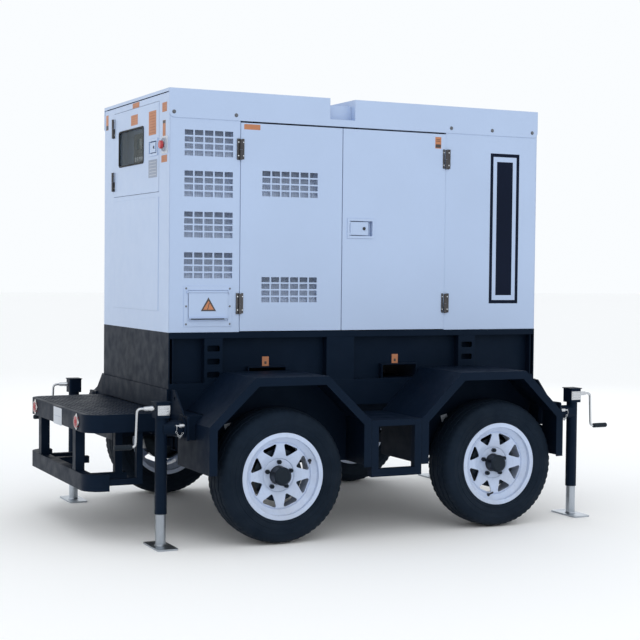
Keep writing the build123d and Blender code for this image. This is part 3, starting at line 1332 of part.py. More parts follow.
def engine():
    """Block, head, sump, flywheel housing, manifolds and feet, bored for the crankshaft."""
    x0 = ENGINE_START
    x1 = ENGINE_END
    w = ENGINE_HALF_WIDTH
    body = block(x0 + 60, x1, -w, w, SHAFT_Z - 90, SHAFT_Z + 260)
    housing = rod_x(x0, x0 + 60, 0, SHAFT_Z, ALTERNATOR_R + 10)
    sump = block(x0 + 90, x1 - 60, -w + 30, w - 30, SHAFT_Z - 230, SHAFT_Z - 90)
    head = block(x0 + 80, x1 - 20, -w + 40, w - 40, SHAFT_Z + 260, SHAFT_Z + 370)
    rocker = block(x0 + 90, x1 - 30, -70, 70, SHAFT_Z + 370, SHAFT_Z + 440)
    rocker = fillet(rocker.edges().filter_by(Axis.X), 20)
    inlet = block(x0 + 110, x1 - 60, w - 40, w + 30, SHAFT_Z + 275, SHAFT_Z + 335)
    outlet = block(x0 + 110, x1 - 60, -w + 40, -w - 30, SHAFT_Z + 275, SHAFT_Z + 335)
    timing = block(x1, x1 + 14, -w + 20, w - 20, SHAFT_Z - 90, SHAFT_Z + 220)
    parts = [body, housing, sump, head, rocker, inlet, outlet, timing]
    for x in (x0 + 120, x1 - 90):
        for y in (-1, 1):
            parts.append(block(x - 30, x + 30, y * (w - 10), y * (w + 60), BASE_TOP, SHAFT_Z - 40))
    motor = parts[0].fuse(*parts[1:])
    crankcase = block(x0 + 84, x1 - 24, -w + 24, w - 24, SHAFT_Z - 70, SHAFT_Z + 70)
    flywheel_room = rod_x(x0 + 8, x0 + 50, 0, SHAFT_Z, ALTERNATOR_R - 10)
    cylinders = []
    pitch = (x1 - x0 - 160) / 4
    for number in range(4):
        x = x0 + 110 + pitch * (number + 0.5)
        cylinders.append(rod_z(x, 0, SHAFT_Z + 60, SHAFT_Z + 245, 46))
    bore = rod_x(x0 - 1, x1 + 20, 0, SHAFT_Z, SHAFT_R + SHAFT_FIT)
    return motor.cut(crankcase, flywheel_room, bore, *cylinders)


def air_filter():
    """The intake air cleaner beside the rocker cover."""
    y = ENGINE_HALF_WIDTH + 110
    z = SHAFT_Z + 360
    can = rod_x(ENGINE_START + 120, ENGINE_START + 460, y, z, 75)
    duct = rod_y(ENGINE_START + 200, ENGINE_HALF_WIDTH + 30.5, y, SHAFT_Z + 305, 26)
    return can + duct - rod_x(ENGINE_START + 123, ENGINE_START + 457, y, z, 72)


def radiator():
    """Radiator core with tanks and the fan shroud, standing on its bearer."""
    depth, width, height = RADIATOR_SIZE
    x0 = radiator_x()
    z0 = BASE_TOP
    core = block(x0, x0 + depth, -width / 2, width / 2, z0 + 40, z0 + height)
    feet = block(x0 + 10, x0 + depth - 10, -width / 2 + 60, width / 2 - 60, z0, z0 + 40)
    shroud = rod_x(x0 - 120, x0, 0, SHAFT_Z, FAN_R + 40)
    shroud = shroud - rod_x(x0 - 121, x0 + 1, 0, SHAFT_Z, FAN_R + 26)
    cap = rod_z(x0 + depth / 2, width / 4, z0 + height, z0 + height + 25, 28)
    wall = 5
    half = width / 2 - wall
    hollow = block(x0 + wall, x0 + depth - wall, -half, half, z0 + 46, z0 + height - wall)
    return core + feet + shroud + cap - hollow


def muffler():
    """The silencer across the discharge plenum, with its hanger feet."""
    x = (radiator_x() + RADIATOR_SIZE[0] + FRONT) / 2
    z = BASE_TOP + CANOPY_HEIGHT - ROOF_SKIRT - MUFFLER_R - 80
    can = rod_y(x, -MUFFLER_LENGTH / 2, MUFFLER_LENGTH / 2, z, MUFFLER_R)
    can = fillet(can.edges(), 20)
    tail = rod_y(x, -MUFFLER_LENGTH / 2 - 60, -MUFFLER_LENGTH / 2 + 5, z, 30)
    legs = block(x - 25, x + 25, -MUFFLER_LENGTH / 4 - 5, -MUFFLER_LENGTH / 4 + 5, BASE_TOP, z)
    legs = legs + block(x - 25, x + 25, MUFFLER_LENGTH / 4 - 5, MUFFLER_LENGTH / 4 + 5, BASE_TOP, z)
    hollow = rod_y(x, 5 - MUFFLER_LENGTH / 2, MUFFLER_LENGTH / 2 - 5, z, MUFFLER_R - 3)
    hollow = fillet(hollow.edges(), 18)
    return can + tail + legs - hollow


def battery():
    """The starter battery beside the alternator."""
    length, width, height = BATTERY_SIZE
    x0 = REAR + 110
    case = block(x0, x0 + length, -width / 2, width / 2, BASE_TOP, BASE_TOP + height)
    for y in (-1, 1):
        case = case + rod_z(x0 + 40, y * 55, BASE_TOP + height, BASE_TOP + height + 16, 9)
    return case


# ---- drawbar ----------------------------------------------------------------
def drawbar():
    """The folding A-frame drawbar, stowed upright, with its hinge tube and tow eye."""
    x = FRONT + DRAWBAR_SETOUT
    z = JACK_PIVOT_Z
    half = DRAWBAR_TUBE / 2
    reach = DRAWBAR_HALF_WIDTH + half
    hinge = rod_y(x, -reach, reach, z, 24)
    eye_z = z + DRAWBAR_LENGTH
    parts = [hinge]
    for side in SIDES.values():
        outer = side * reach
        inner = side * (reach - DRAWBAR_TUBE)
        points = [(outer, z), (inner, z), (-side * 2, eye_z - 60), (side * (half + 8), eye_z - 60)]
        parts.append(flat_x(points, x - half, x + half))
    parts.append(block(x - half, x + half, -reach + 20, reach - 20, z + 330, z + 330 + DRAWBAR_TUBE))
    shank = block(x - half, x + half, -half, half, eye_z - 180, eye_z - TOW_EYE_OUTER_R + 12)
    ring = rod_x(x - TOW_EYE_THICK / 2, x + TOW_EYE_THICK / 2, 0, eye_z, TOW_EYE_OUTER_R)
    parts.append(shank)
    parts.append(ring)
    bar = parts[0].fuse(*parts[1:])
    bar = bar - rod_x(x - 40, x + 40, 0, eye_z, TOW_EYE_BORE_R)
    return bar - rod_y(x, -SIDE, SIDE, z, DRAWBAR_PIN_R + SPINDLE_FIT)


def drawbar_pin():
    """The hinge pin of the drawbar, pressed in the chassis ears."""
    reach = DRAWBAR_HALF_WIDTH + DRAWBAR_TUBE / 2 + 26
    return rod_y(FRONT + DRAWBAR_SETOUT, -reach, reach, JACK_PIVOT_Z, DRAWBAR_PIN_R)


# ---- the set of named pieces ------------------------------------------------
def all_pieces():
    """Every sub-part by name."""
    pieces = {
        "chassis_frame": Compound([chassis_frame(), drawbar_pin(), *end_plates()]),
        "axles": Compound([axle(x) for x in AXLE_XS]),
        "leaf_springs": leaf_springs(),
        "fenders": Compound([fender(x, side) for x in FENDER_XS for side in SIDES.values()]),
        "side_steps": Compound([side_step(side) for side in SIDES.values()]),
        "rear_deck": rear_deck(),
        "tail_lamps": tail_lamps(),
        "base_frame": base_frame(),
        "fuel_tank": fuel_tank(),
        "side_panels": side_panels(),
        "end_panels": Compound([rear_panel(), front_panel()]),
        "roof": roof(),
        "lifting_eye": lifting_eye(),
        "door_hinges": door_hinges(),
        "control_panel": control_panel(),
        "controller": controller(),
        "control_door": control_door(),
        "control_window": control_window(),
        "control_paddle": control_paddle(),
        "e_stop_collar": e_stop_collar(),
        "e_stop_button": e_stop_button(),
        "outlet_frame": outlet_frame(),
        "outlet_flap": outlet_flap(),
        "engine": Compound([engine(), air_filter()]),
        "alternator": alternator(),
        "crank_train": crank_train(),
        "radiator": radiator(),
        "muffler": muffler(),
        "battery": battery(),
        "drawbar": drawbar(),
    }
    for side_name, side in SIDES.items():
        rear_door = side_door(REAR_DOOR_START, REAR_DOOR_END, REAR_HINGE_X, False, side)
        front_door = side_door(FRONT_DOOR_START, FRONT_DOOR_END, FRONT_HINGE_X, True, side)
        pieces[f"rear_door_{side_name}"] = rear_door
        pieces[f"front_door_{side_name}"] = front_door
        pieces[f"door_paddle_{side_name}"] = latch_paddle(side)
        for end_name, end in ENDS.items():
            place = f"{end_name}_{side_name}"
            x = AXLE_XS[end]
            pieces[f"tyre_{place}"] = tyre(x, side)
            pieces[f"rim_{place}"] = rim(x, side)
            pieces[f"hub_{place}"] = hub(x, side)
            pieces[f"jack_body_{place}"] = jack_body(end, side)
            pieces[f"jack_leg_{place}"] = jack_leg(end, side)
            pieces[f"jack_crank_{place}"] = jack_crank(end, side)
    return pieces


os.makedirs("parts", exist_ok=True)
for name, shape in all_pieces().items():
    export_step(shape, f"parts/{name}.step")
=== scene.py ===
"""A canopied diesel generator on a two-axle trailer: its finishes, fittings and studio."""

from math import cos, radians, sin, tau

import bmesh
import bpy
from mathutils import Matrix, Vector


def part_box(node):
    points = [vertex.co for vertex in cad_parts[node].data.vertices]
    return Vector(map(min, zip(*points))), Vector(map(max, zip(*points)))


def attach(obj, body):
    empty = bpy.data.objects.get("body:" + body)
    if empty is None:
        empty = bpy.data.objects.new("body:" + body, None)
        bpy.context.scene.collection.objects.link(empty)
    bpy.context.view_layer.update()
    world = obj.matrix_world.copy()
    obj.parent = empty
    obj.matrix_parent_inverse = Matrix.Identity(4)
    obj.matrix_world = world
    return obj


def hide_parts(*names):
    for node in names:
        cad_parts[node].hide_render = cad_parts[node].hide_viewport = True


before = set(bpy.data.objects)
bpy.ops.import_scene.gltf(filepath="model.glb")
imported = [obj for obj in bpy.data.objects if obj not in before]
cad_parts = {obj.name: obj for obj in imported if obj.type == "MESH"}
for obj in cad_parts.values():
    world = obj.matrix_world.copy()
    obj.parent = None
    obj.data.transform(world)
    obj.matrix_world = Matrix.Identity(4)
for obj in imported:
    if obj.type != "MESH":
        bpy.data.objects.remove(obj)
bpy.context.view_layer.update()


# ---- studio -----------------------------------------------------------------
# A pale seamless floor under a soft overcast sky, with one broad softbox on the
# near side and a weaker one behind. The camera stands seven metres off the near
# rear corner with a short telephoto lens.
scene = bpy.context.scene
scene.view_settings.view_transform = "Standard"

sky = bpy.data.worlds.new("overcast")
sky.use_nodes = True
sky_light = sky.node_tree.nodes["Background"]
sky_light.inputs["Color"].default_value = (0.955, 0.98, 1.0, 1)
sky_light.inputs["Strength"].default_value = 1.0
scene.world = sky


def softbox(name, where, size, power, tint, target=(0, 0, 1.2)):
    """A rectangular lamp aimed at the machine."""
    lamp = bpy.data.lights.new(name, "AREA")
    lamp.shape = "RECTANGLE"
    lamp.size, lamp.size_y = size
    lamp.energy = power
    lamp.color = tint
    holder = bpy.data.objects.new(name, lamp)
    holder.location = where
    holder.rotation_euler = (Vector(target) - Vector(where)).to_track_quat("-Z", "Y").to_euler()
    scene.collection.objects.link(holder)


softbox("near_softbox", (-1.5, -6.0, 5.5), (6, 4), 60, (0.97, 0.98, 1.0))
softbox("rear_softbox", (-6.5, 0.5, 3.4), (3.5, 2.4), 7, (1.0, 0.95, 0.94))
softbox("far_softbox", (4.0, 6.0, 4.5), (5, 4), 60, (0.95, 0.97, 1.0))

camera_data = bpy.data.cameras.new("camera")
camera_data.lens = 79.85
camera_data.sensor_width = 36
camera_data.clip_end = 200
camera = bpy.data.objects.new("camera", camera_data)
CAMERA_SPOT = Vector((-3.313, -6.961, 1.305))
CAMERA_YAW, CAMERA_PITCH, CAMERA_ROLL = radians(25.787), radians(-2.09), radians(0.578)
ahead = Vector((sin(CAMERA_YAW) * cos(CAMERA_PITCH), cos(CAMERA_YAW) * cos(CAMERA_PITCH), sin(CAMERA_PITCH)))
across = Vector((cos(CAMERA_YAW), -sin(CAMERA_YAW), 0))
above = across.cross(ahead)
across, above = (
    across * cos(CAMERA_ROLL) + above * sin(CAMERA_ROLL),
    above * cos(CAMERA_ROLL) - across * sin(CAMERA_ROLL),
)
camera.matrix_world = Matrix.Translation(CAMERA_SPOT) @ Matrix((across, above, -ahead)).transposed().to_4x4()
scene.collection.objects.link(camera)
scene.camera = camera

floor_mesh = bpy.data.meshes.new("floor")
FLOOR = 60.0
floor_mesh.from_pydata(
    [(-FLOOR, -FLOOR, 0), (FLOOR, -FLOOR, 0), (FLOOR, FLOOR, 0), (-FLOOR, FLOOR, 0)], [], [(0, 1, 2, 3)]
)
floor = bpy.data.objects.new("floor", floor_mesh)
scene.collection.objects.link(floor)
pale = bpy.data.materials.new("pale_floor")
pale.use_nodes = True
shader = pale.node_tree.nodes["Principled BSDF"]
shader.inputs["Base Color"].default_value = (0.965, 0.965, 0.965, 1)
shader.inputs["Roughness"].default_value = 0.9
floor_mesh.materials.append(pale)


# ---- canopy sheet metal -----------------------------------------------------
# Folded 2.5 mm steel: corner panels, end walls and an overhanging roof lid,
# powder coated white and drawn as a darker blue-grey, which is painted blue shade;
# the film has a fine orange peel and a trace of scuffing on the folds.
def coat(name, colour, rough, peel=0.12, metal=0.0, wear=(0.3, 0.3, 0.3), worn=0.0, dust=0.0,
         dust_colour=(0.30, 0.27, 0.23), grain=420.0, mottle=0.05, soft=0.0012, gloss=0.0, level=(0.0, 1.2),
         shine=0.5, tint=(1.0, 1.0, 1.0)):
    """A sprayed, plated or moulded finish, with its grain, mottling, worn edges and dust."""
    material = bpy.data.materials.new(name)
    material.use_nodes = True
    nodes, links = material.node_tree.nodes, material.node_tree.links
    surface = nodes["Principled BSDF"]
    surface.inputs["Metallic"].default_value = metal
    surface.inputs["Coat Weight"].default_value = gloss
    surface.inputs["Coat Roughness"].default_value = 0.12
    # The specular tint colours every reflection; a blue tint given here is a painted blue reflection of the sky.
    surface.inputs["Specular IOR Level"].default_value = shine
    surface.inputs["Specular Tint"].default_value = (*tint, 1)

    place = nodes.new("ShaderNodeTexCoord")

    def noise(scale, detail=3.0):
        made = nodes.new("ShaderNodeTexNoise")
        made.inputs["Scale"].default_value = scale
        made.inputs["Detail"].default_value = detail
        links.new(place.outputs["Object"], made.inputs["Vector"])
        return made.outputs["Fac"]

    def spread(value, low, high, to_low, to_high):
        made = nodes.new("ShaderNodeMapRange")
        made.inputs["From Min"].default_value = low
        made.inputs["From Max"].default_value = high
        made.inputs["To Min"].default_value = to_low
        made.inputs["To Max"].default_value = to_high
        links.new(value, made.inputs["Value"])
        return made.outputs["Result"]

    def times(a, b):
        made = nodes.new("ShaderNodeMath")
        made.operation = "MULTIPLY"
        links.new(a, made.inputs[0])
        links.new(b, made.inputs[1])
        return made.outputs[0]

    def blend(amount, a, b):
        made = nodes.new("ShaderNodeMix")
        made.data_type = "RGBA"
        links.new(amount, made.inputs["Factor"])
        for socket, value in (("A", a), ("B", b)):
            target = made.inputs[6 if socket == "A" else 7]
            if isinstance(value, tuple):
                target.default_value = (*value, 1)
            else:
                links.new(value, target)
        return made.outputs[2]

    dark = tuple(c * (1 - mottle) for c in colour)
    light = tuple(min(1.0, c * (1 + mottle)) for c in colour)
    tone = blend(spread(noise(2.3), 0.35, 0.65, 0, 1), dark, light)
    tone = blend(spread(noise(38.0, 5), 0.3, 0.9, 0, 0.35), tone,
                 tuple(c * (1 - 1.6 * mottle) for c in colour))

    edge_normal = nodes.new("ShaderNodeBevel")
    edge_normal.samples = 4
    edge_normal.inputs["Radius"].default_value = soft
    if worn:
        flat = nodes.new("ShaderNodeNewGeometry")
        facing = nodes.new("ShaderNodeVectorMath")
        facing.operation = "DOT_PRODUCT"
        links.new(edge_normal.outputs["Normal"], facing.inputs[0])
        links.new(flat.outputs["Normal"], facing.inputs[1])
        rim = spread(facing.outputs["Value"], 0.98, 0.82, 0, 1)
        patchy = spread(noise(55.0, 6), 0.5, 0.68, 0, worn)
        tone = blend(times(rim, patchy), tone, wear)
    if dust:
        parts = nodes.new("ShaderNodeSeparateXYZ")
        links.new(place.outputs["Object"], parts.inputs[0])
        low = spread(parts.outputs["Z"], level[1], level[0], 0, dust)
        cloud = spread(noise(9.0, 6), 0.35, 0.7, 0.1, 1)
        tone = blend(times(low, cloud), tone, dust_colour)
    links.new(tone, surface.inputs["Base Color"])
    links.new(spread(noise(16.0, 4), 0.3, 0.7, rough * 0.85, min(1, rough * 1.18)),
              surface.inputs["Roughness"])

    bump = nodes.new("ShaderNodeBump")
    bump.inputs["Strength"].default_value = peel
    bump.inputs["Distance"].default_value = 0.0006
    links.new(noise(grain, 2), bump.inputs["Height"])
    links.new(edge_normal.outputs["Normal"], bump.inputs["Normal"])
    links.new(bump.outputs["Normal"], surface.inputs["Normal"])
    return material


def finish(material, *nodes):
    """Gives CAD pieces their finish."""
    for node in nodes:
        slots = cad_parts[node].data.materials
        slots.clear()
        slots.append(material)


# Powder-coat white darkened to a blue-grey: painted blue shade, not the paint's own colour.
CANOPY_WHITE_IN_PAINTED_SHADE = (0.421, 0.530, 0.736)
canopy_white = coat("canopy_white", CANOPY_WHITE_IN_PAINTED_SHADE, 0.34, peel=0.10, mottle=0.02, worn=0.25,
                    wear=(0.42, 0.47, 0.55), gloss=0.15, soft=0.0015)
finish(canopy_white, "side_panels", "end_panels", "roof", "lifting_eye", "rear_door_left", "rear_door_right",
       "front_door_left", "front_door_right", "control_door", "outlet_frame", "outlet_flap")

REAR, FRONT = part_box("base_frame")[0].x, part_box("base_frame")[1].x
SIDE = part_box("base_frame")[1].y
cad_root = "trailer"


# ---- roof bolts -------------------------------------------------------------
# Zinc-plated flanged hexagon bolts that clamp the roof skirt to the corner
# panels along both sides and the front end.
def facing(point, way):
    """A frame whose z leaves the machine: way is one of right, left, rear, front, up."""
    outward = {"right": (0, -1, 0), "left": (0, 1, 0), "rear": (-1, 0, 0), "front": (1, 0, 0),
               "up": (0, 0, 1)}[way]
    up = Vector((0, 1, 0)) if way == "up" else Vector((0, 0, 1))
    z = Vector(outward)
    x = up.cross(z)
    return Matrix.Translation(Vector(point)) @ Matrix((x, up, z)).transposed().to_4x4()


def turned(bm, profile, place, steps=24, start=0.0):
    """Adds a lathe-turned solid from (radius, height) points, closed where the radius is 0."""
    rings = []
    for radius, height in profile:
        if radius < 1e-7:
            rings.append([bm.verts.new(place @ Vector((0, 0, height)))])
            continue
        ring = []
        for i in range(steps):
            angle = start + tau * i / steps
            ring.append(bm.verts.new(place @ Vector((radius * cos(angle), radius * sin(angle), height))))
        rings.append(ring)
    for low, high in zip(rings, rings[1:]):
        for i in range(steps):
            j = (i + 1) % steps
            corners = [low[i % len(low)], low[j % len(low)], high[j % len(high)], high[i % len(high)]]
            corners = list(dict.fromkeys(corners))
            if len(corners) > 2:
                bm.faces.new(corners)


def hex_bolt(bm, place, size=0.0055, tall=0.0045):
    """Adds a flanged hexagon head standing on place, chamfered on its top corners."""
    turned(bm, [(0, 0), (size * 1.75, 0), (size * 1.75, tall * 0.2), (size * 1.2, tall * 0.42)], place, 20)
    turned(bm, [(size * 1.15, tall * 0.3), (size * 1.15, tall * 0.85), (size * 0.98, tall), (0, tall)],
           place, 6)


def lay(name, bm, material, body=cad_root, sharp=32.0):
    """Makes one piece of the gathered mesh, smooths what isn't an edge, and lets it ride."""
    bmesh.ops.recalc_face_normals(bm, faces=bm.faces)
    mesh = bpy.data.meshes.new(name)
    bm.to_mesh(mesh)
    bm.free()
    mesh.polygons.foreach_set("use_smooth", [True] * len(mesh.polygons))
    mesh.set_sharp_from_angle(angle=radians(sharp))
    mesh.materials.append(material)
    made = bpy.data.objects.new(name, mesh)
    scene.collection.objects.link(made)
    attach(made, body)
    return made


ROOF_BOLT_LEVEL = 2.046
SIDE_BOLTS = (0.021, 0.342, 1.561, 1.814, 2.068)
END_BOLTS = (-0.46, -0.2, 0.2, 0.46)
zinc = coat("zinc_plate", (0.17, 0.18, 0.20), 0.30, metal=1.0, peel=0.05, mottle=0.12, soft=0.0003)
heads = bmesh.new()
for side in ("right", "left"):
    y = -SIDE if side == "right" else SIDE
    for x in SIDE_BOLTS:
        hex_bolt(heads, facing((REAR + x, y, ROOF_BOLT_LEVEL), side))
for y in END_BOLTS:
    hex_bolt(heads, facing((FRONT, y, ROOF_BOLT_LEVEL), "front"))
lay("roof_bolts", heads, zinc)


# ---- louvre baffles ---------------------------------------------------------
# Behind each group of slots is a fine woven screen, and behind that a sloped
# chute of canopy sheet, close to the slots at its foot and deep at its head, so
# rain runs out and engine noise is turned upwards.
def slab(bm, low, high, place=None, soft=0.0):
    """Adds a block between two corners, with chamfered edges where soft is given."""
    place = place or Matrix.Identity(4)
    size = [b - a for a, b in zip(low, high)]
    centre = [(a + b) / 2 for a, b in zip(low, high)]
    made = bmesh.ops.create_cube(bm, size=1.0,
                                 matrix=place @ Matrix.Translation(centre) @ Matrix.Diagonal((*size, 1)))
    if soft:
        edges = {e for v in made["verts"] for e in v.link_edges}
        bmesh.ops.bevel(bm, geom=list(edges), offset=soft, segments=2, affect="EDGES", profile=0.5)


SLOT_W, SLOT_H, SLOT_STEP_X, SLOT_STEP_Z = 0.0435, 0.025, 0.0518, 0.033
SLOT_ROWS = 4
LINING_GAP = 0.0065
CHUTE_FOOT, CHUTE_HEAD = 0.0090, 0.075
WIRE = 0.0008
WIRE_PITCH_X, WIRE_PITCH_Z = 0.0120, 0.0050
screen_wire = coat("screen_wire", (0.20, 0.245, 0.33), 0.5, metal=0.2, peel=0.0, soft=0.0002)
# The chute's white paint drawn as a blue-grey: painted blue shade.
lining = coat("chute_white_painted_shade", (0.50, 0.60, 0.80), 0.5, peel=0.1, mottle=0.05, dust=0.0)
foam = coat("sound_foam", (0.018, 0.02, 0.024), 0.95, peel=0.9, grain=260.0, mottle=0.3)


def louvre_back(name, side, x0, z0, columns, body):
    """The screen and the chute behind one group of slots, whose lower corner is x0, z0."""
    out = -1 if side == "right" else 1
    wide = (columns - 1) * SLOT_STEP_X + SLOT_W
    tall = (SLOT_ROWS - 1) * SLOT_STEP_Z + SLOT_H
    wires = bmesh.new()
    y = out * (SIDE - LINING_GAP)
    count = int(tall / WIRE_PITCH_Z) + 2
    for i in range(count):
        z = z0 - WIRE_PITCH_Z / 2 + i * WIRE_PITCH_Z
        slab(wires, (x0 - 0.004, y - WIRE / 2, z - WIRE / 2), (x0 + wide + 0.004, y + WIRE / 2, z + WIRE / 2))
    for i in range(int(wide / WIRE_PITCH_X) + 2):
        x = x0 - 0.004 + i * WIRE_PITCH_X
        slab(wires, (x - WIRE / 2, y - out * 0.001 - WIRE / 2, z0 - 0.004),
             (x + WIRE / 2, y - out * 0.001 + WIRE / 2, z0 + tall + 0.004))
    lay(name + "_screen", wires, screen_wire, body)

    edge = 0.006
    foot, head = out * (SIDE - CHUTE_FOOT), out * (SIDE - CHUTE_HEAD)
    shell = bmesh.new()
    side_view = [(foot, z0 - edge), (head, z0 + tall + edge), (out * (SIDE - 0.0075), z0 + tall + edge)]
    ends = []
    for x in (x0 - edge, x0 + wide + edge):
        ends.append([shell.verts.new((x, a, b)) for a, b in side_view])
    shell.faces.new((ends[0][0], ends[1][0], ends[1][1], ends[0][1]))
    for end in ends:
        shell.faces.new(end)
    lay(name + "_chute", shell, lining, body)


SIDE_GROUPS_Z = (1.251, 1.4475, 1.644, 1.8405)
DOOR_GROUPS_Z = (1.138, 1.661)
for side in ("right", "left"):
    for i, z in enumerate(SIDE_GROUPS_Z):
        louvre_back(f"side_louvre_{side}_{i + 1}", side, REAR + 0.077, z, 5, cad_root)
    for i, z in enumerate(DOOR_GROUPS_Z):
        louvre_back(f"door_louvre_{side}_{i + 1}", side, REAR + 0.368 + 0.115, z, 6, f"rear_door_{side}")


# ---- door seals and linings -------------------------------------------------
# Black bulb rubber along the split between each side's doors closes the 4 mm gap, and dark flat
# foam sheets glued inside the doors damp the noise.
rubber = coat("seal_rubber", (0.012, 0.013, 0.016), 0.72, peel=0.25, grain=700.0, mottle=0.2, soft=0.0004)
SPLIT_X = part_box("rear_door_right")[1].x
DOOR_LOW_Z, DOOR_HIGH_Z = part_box("rear_door_right")[0].z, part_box("rear_door_right")[1].z
DOOR_FRONT_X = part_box("front_door_right")[1].x
REAR_PANEL_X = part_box("rear_door_right")[0].x


def run(bm, points, radius, steps=12, closed=False):
    """Adds a round bar along points, with its rings turned the shortest way at each bend."""
    points = [Vector(p) for p in points]
    count = len(points)
    rings = []
    last = None
    for i, point in enumerate(points):
        before = points[i - 1] if i or closed else point
        after = points[(i + 1) % count] if i + 1 < count or closed else point
        along = (after - before).normalized()
        if last is None:
            last = along.orthogonal().normalized()
        last = (last - along * last.dot(along)).normalized()
        other = along.cross(last)
        rings.append([
            bm.verts.new(point + (last * cos(tau * k / steps) + other * sin(tau * k / steps)) * radius)
            for k in range(steps)
        ])
    pairs = list(zip(rings, rings[1:]))
    if closed:
        pairs.append((rings[-1], rings[0]))
    for low, high in pairs:
        for k in range(steps):
            j = (k + 1) % steps
            bm.faces.new((low[k], low[j], high[j], high[k]))
    if not closed:
        bm.faces.new(rings[0])
        bm.faces.new(rings[-1])


for side, out in (("right", -1), ("left", 1)):
    seal = bmesh.new()
    y = out * (SIDE - 0.014)
    run(seal, [(SPLIT_X + 0.002, y, DOOR_LOW_Z + 0.004), (SPLIT_X + 0.002, y, DOOR_HIGH_Z - 0.004)],
        0.0019, 8)
    lay(f"split_seal_{side}", seal, rubber, f"rear_door_{side}")
    for body, x0, x1, bands in (
        (f"rear_door_{side}", REAR_PANEL_X + 0.035, SPLIT_X - 0.035, ((1.300, 1.620), (1.830, 1.990))),
        (f"front_door_{side}", SPLIT_X + 0.040, DOOR_FRONT_X - 0.035, ((1.030, 1.400), (1.620, 1.990))),
    ):
        sheets = bmesh.new()
        for z0, z1 in bands:
            inner, outer = sorted((out * (SIDE - 0.0215), out * (SIDE - 0.0026)))
            slab(sheets, (x0, inner, z0), (x1, outer, z1), soft=0.004)
        lay(f"door_foam_{body}", sheets, foam, body)


# ---- black steelwork --------------------------------------------------------
# Welded tube and folded plate: the skid, the chassis, springs, fenders, steps
# and deck, all sprayed one satin black with road dust low down; the blue in its
# colour and in its reflections is a painted blue cast.
# Black with a painted blue cast; the specular tint below paints the reflections blue too.
FRAME_BLACK_WITH_PAINTED_BLUE_CAST = (0.0026, 0.0068, 0.0170)
frame_black = coat("frame_black", FRAME_BLACK_WITH_PAINTED_BLUE_CAST, 0.50, peel=0.16, grain=330.0, mottle=0.10, worn=0.30,
                   wear=(0.035, 0.045, 0.062), dust=0.06, dust_colour=(0.040, 0.045, 0.055), soft=0.0022,
                   shine=0.14, tint=(0.42, 0.66, 1.0))
finish(frame_black, "chassis_frame", "axles", "leaf_springs", "fenders", "side_steps", "rear_deck",
       "base_frame",
       "fuel_tank", "drawbar")
for place in ("rear_right", "rear_left", "front_right", "front_left"):
    finish(frame_black, f"jack_body_{place}")


# ---- tyres ------------------------------------------------------------------
# Steel-belted radials: plain sidewalls with raised rubbing ribs, a rounded
# shoulder cut into close blocks, and four zigzag grooves round the tread.
# Black rubber given a painted blue cast, in its colour and, through the specular tint, in its reflections.
tyre_rubber = coat("tyre_rubber", (0.0042, 0.0085, 0.0165), 0.72, peel=0.35, grain=240.0, mottle=0.22,
                   dust=0.12, dust_colour=(0.035, 0.040, 0.050), level=(0.0, 0.5), soft=0.0006,
                   shine=0.22, tint=(0.55, 0.75, 1.0))
TYRE_STEPS = 180
AXLE_Z = 0.322
SIDEWALL = [
    (0.2075, 0.0870), (0.2105, 0.0905), (0.2165, 0.0925), (0.2185, 0.0950), (0.2215, 0.0952), (0.2240, 0.0935),
    (0.2310, 0.0965), (0.2440, 0.0995), (0.2455, 0.1012), (0.2478, 0.1012), (0.2495, 0.1000), (0.2600, 0.1015),
    (0.2680, 0.1020), (0.2692, 0.1025), (0.2715, 0.1025), (0.2728, 0.1018), (0.2830, 0.1004), (0.2905, 0.0985),
]
SHOULDER = [(0.2960, 0.0968), (0.3030, 0.0935), (0.3085, 0.0885), (0.3125, 0.0820), (0.3150, 0.0750)]
CROWN = [
    (0.3168, 0.0665), (0.3172, 0.0625), (0.3095, 0.0610), (0.3095, 0.0555), (0.3186, 0.0540), (0.3205, 0.0400),
    (0.3208, 0.0270), (0.3118, 0.0255), (0.3118, 0.0195), (0.3212, 0.0180), (0.3218, 0.0000),
]


def tyre(place, axle_x, wheel_y):
    """One tyre, lathed round its axle with the shoulder blocks cut in as it goes round."""
    half = [(r, h, "side") for r, h in SIDEWALL] + [(r, h, "shoulder") for r, h in SHOULDER]
    half += [(r, h, "crown") for r, h in CROWN]
    whole = [(r, -h, k) for r, h, k in half] + [(r, h, k) for r, h, k in reversed(half[:-1])]
    bm = bmesh.new()
    rings = []
    for i in range(TYRE_STEPS):
        angle = tau * i / TYRE_STEPS
        slot = i % 3 == 0
        wave = 0.0024 * (1 if (i // 3) % 2 else -1)
        ring = []
        for r, h, kind in whole:
            if kind == "shoulder" and slot:
                r -= 0.0036
            if kind == "crown" and 0.012 < abs(h) < 0.064:
                h += wave
            if kind == "crown" and slot and abs(h) > 0.041:
                r -= 0.0020
            ring.append(bm.verts.new((axle_x + r * cos(angle), wheel_y + h, AXLE_Z + r * sin(angle))))
        rings.append(ring)
    for i in range(TYRE_STEPS):
        low, high = rings[i], rings[(i + 1) % TYRE_STEPS]
        for k in range(len(whole) - 1):
            bm.faces.new((low[k], high[k], high[k + 1], low[k + 1]))
        bm.faces.new((low[-1], high[-1], high[0], low[0]))
    made = lay(f"tyre_{place}_tread", bm, tyre_rubber, f"wheel_{place}", sharp=28)
    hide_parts(f"tyre_{place}")


for place in ("rear_right", "rear_left", "front_right", "front_left"):
    low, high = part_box(f"tyre_{place}")
    tyre(place, (low.x + high.x) / 2, (low.y + high.y) / 2)
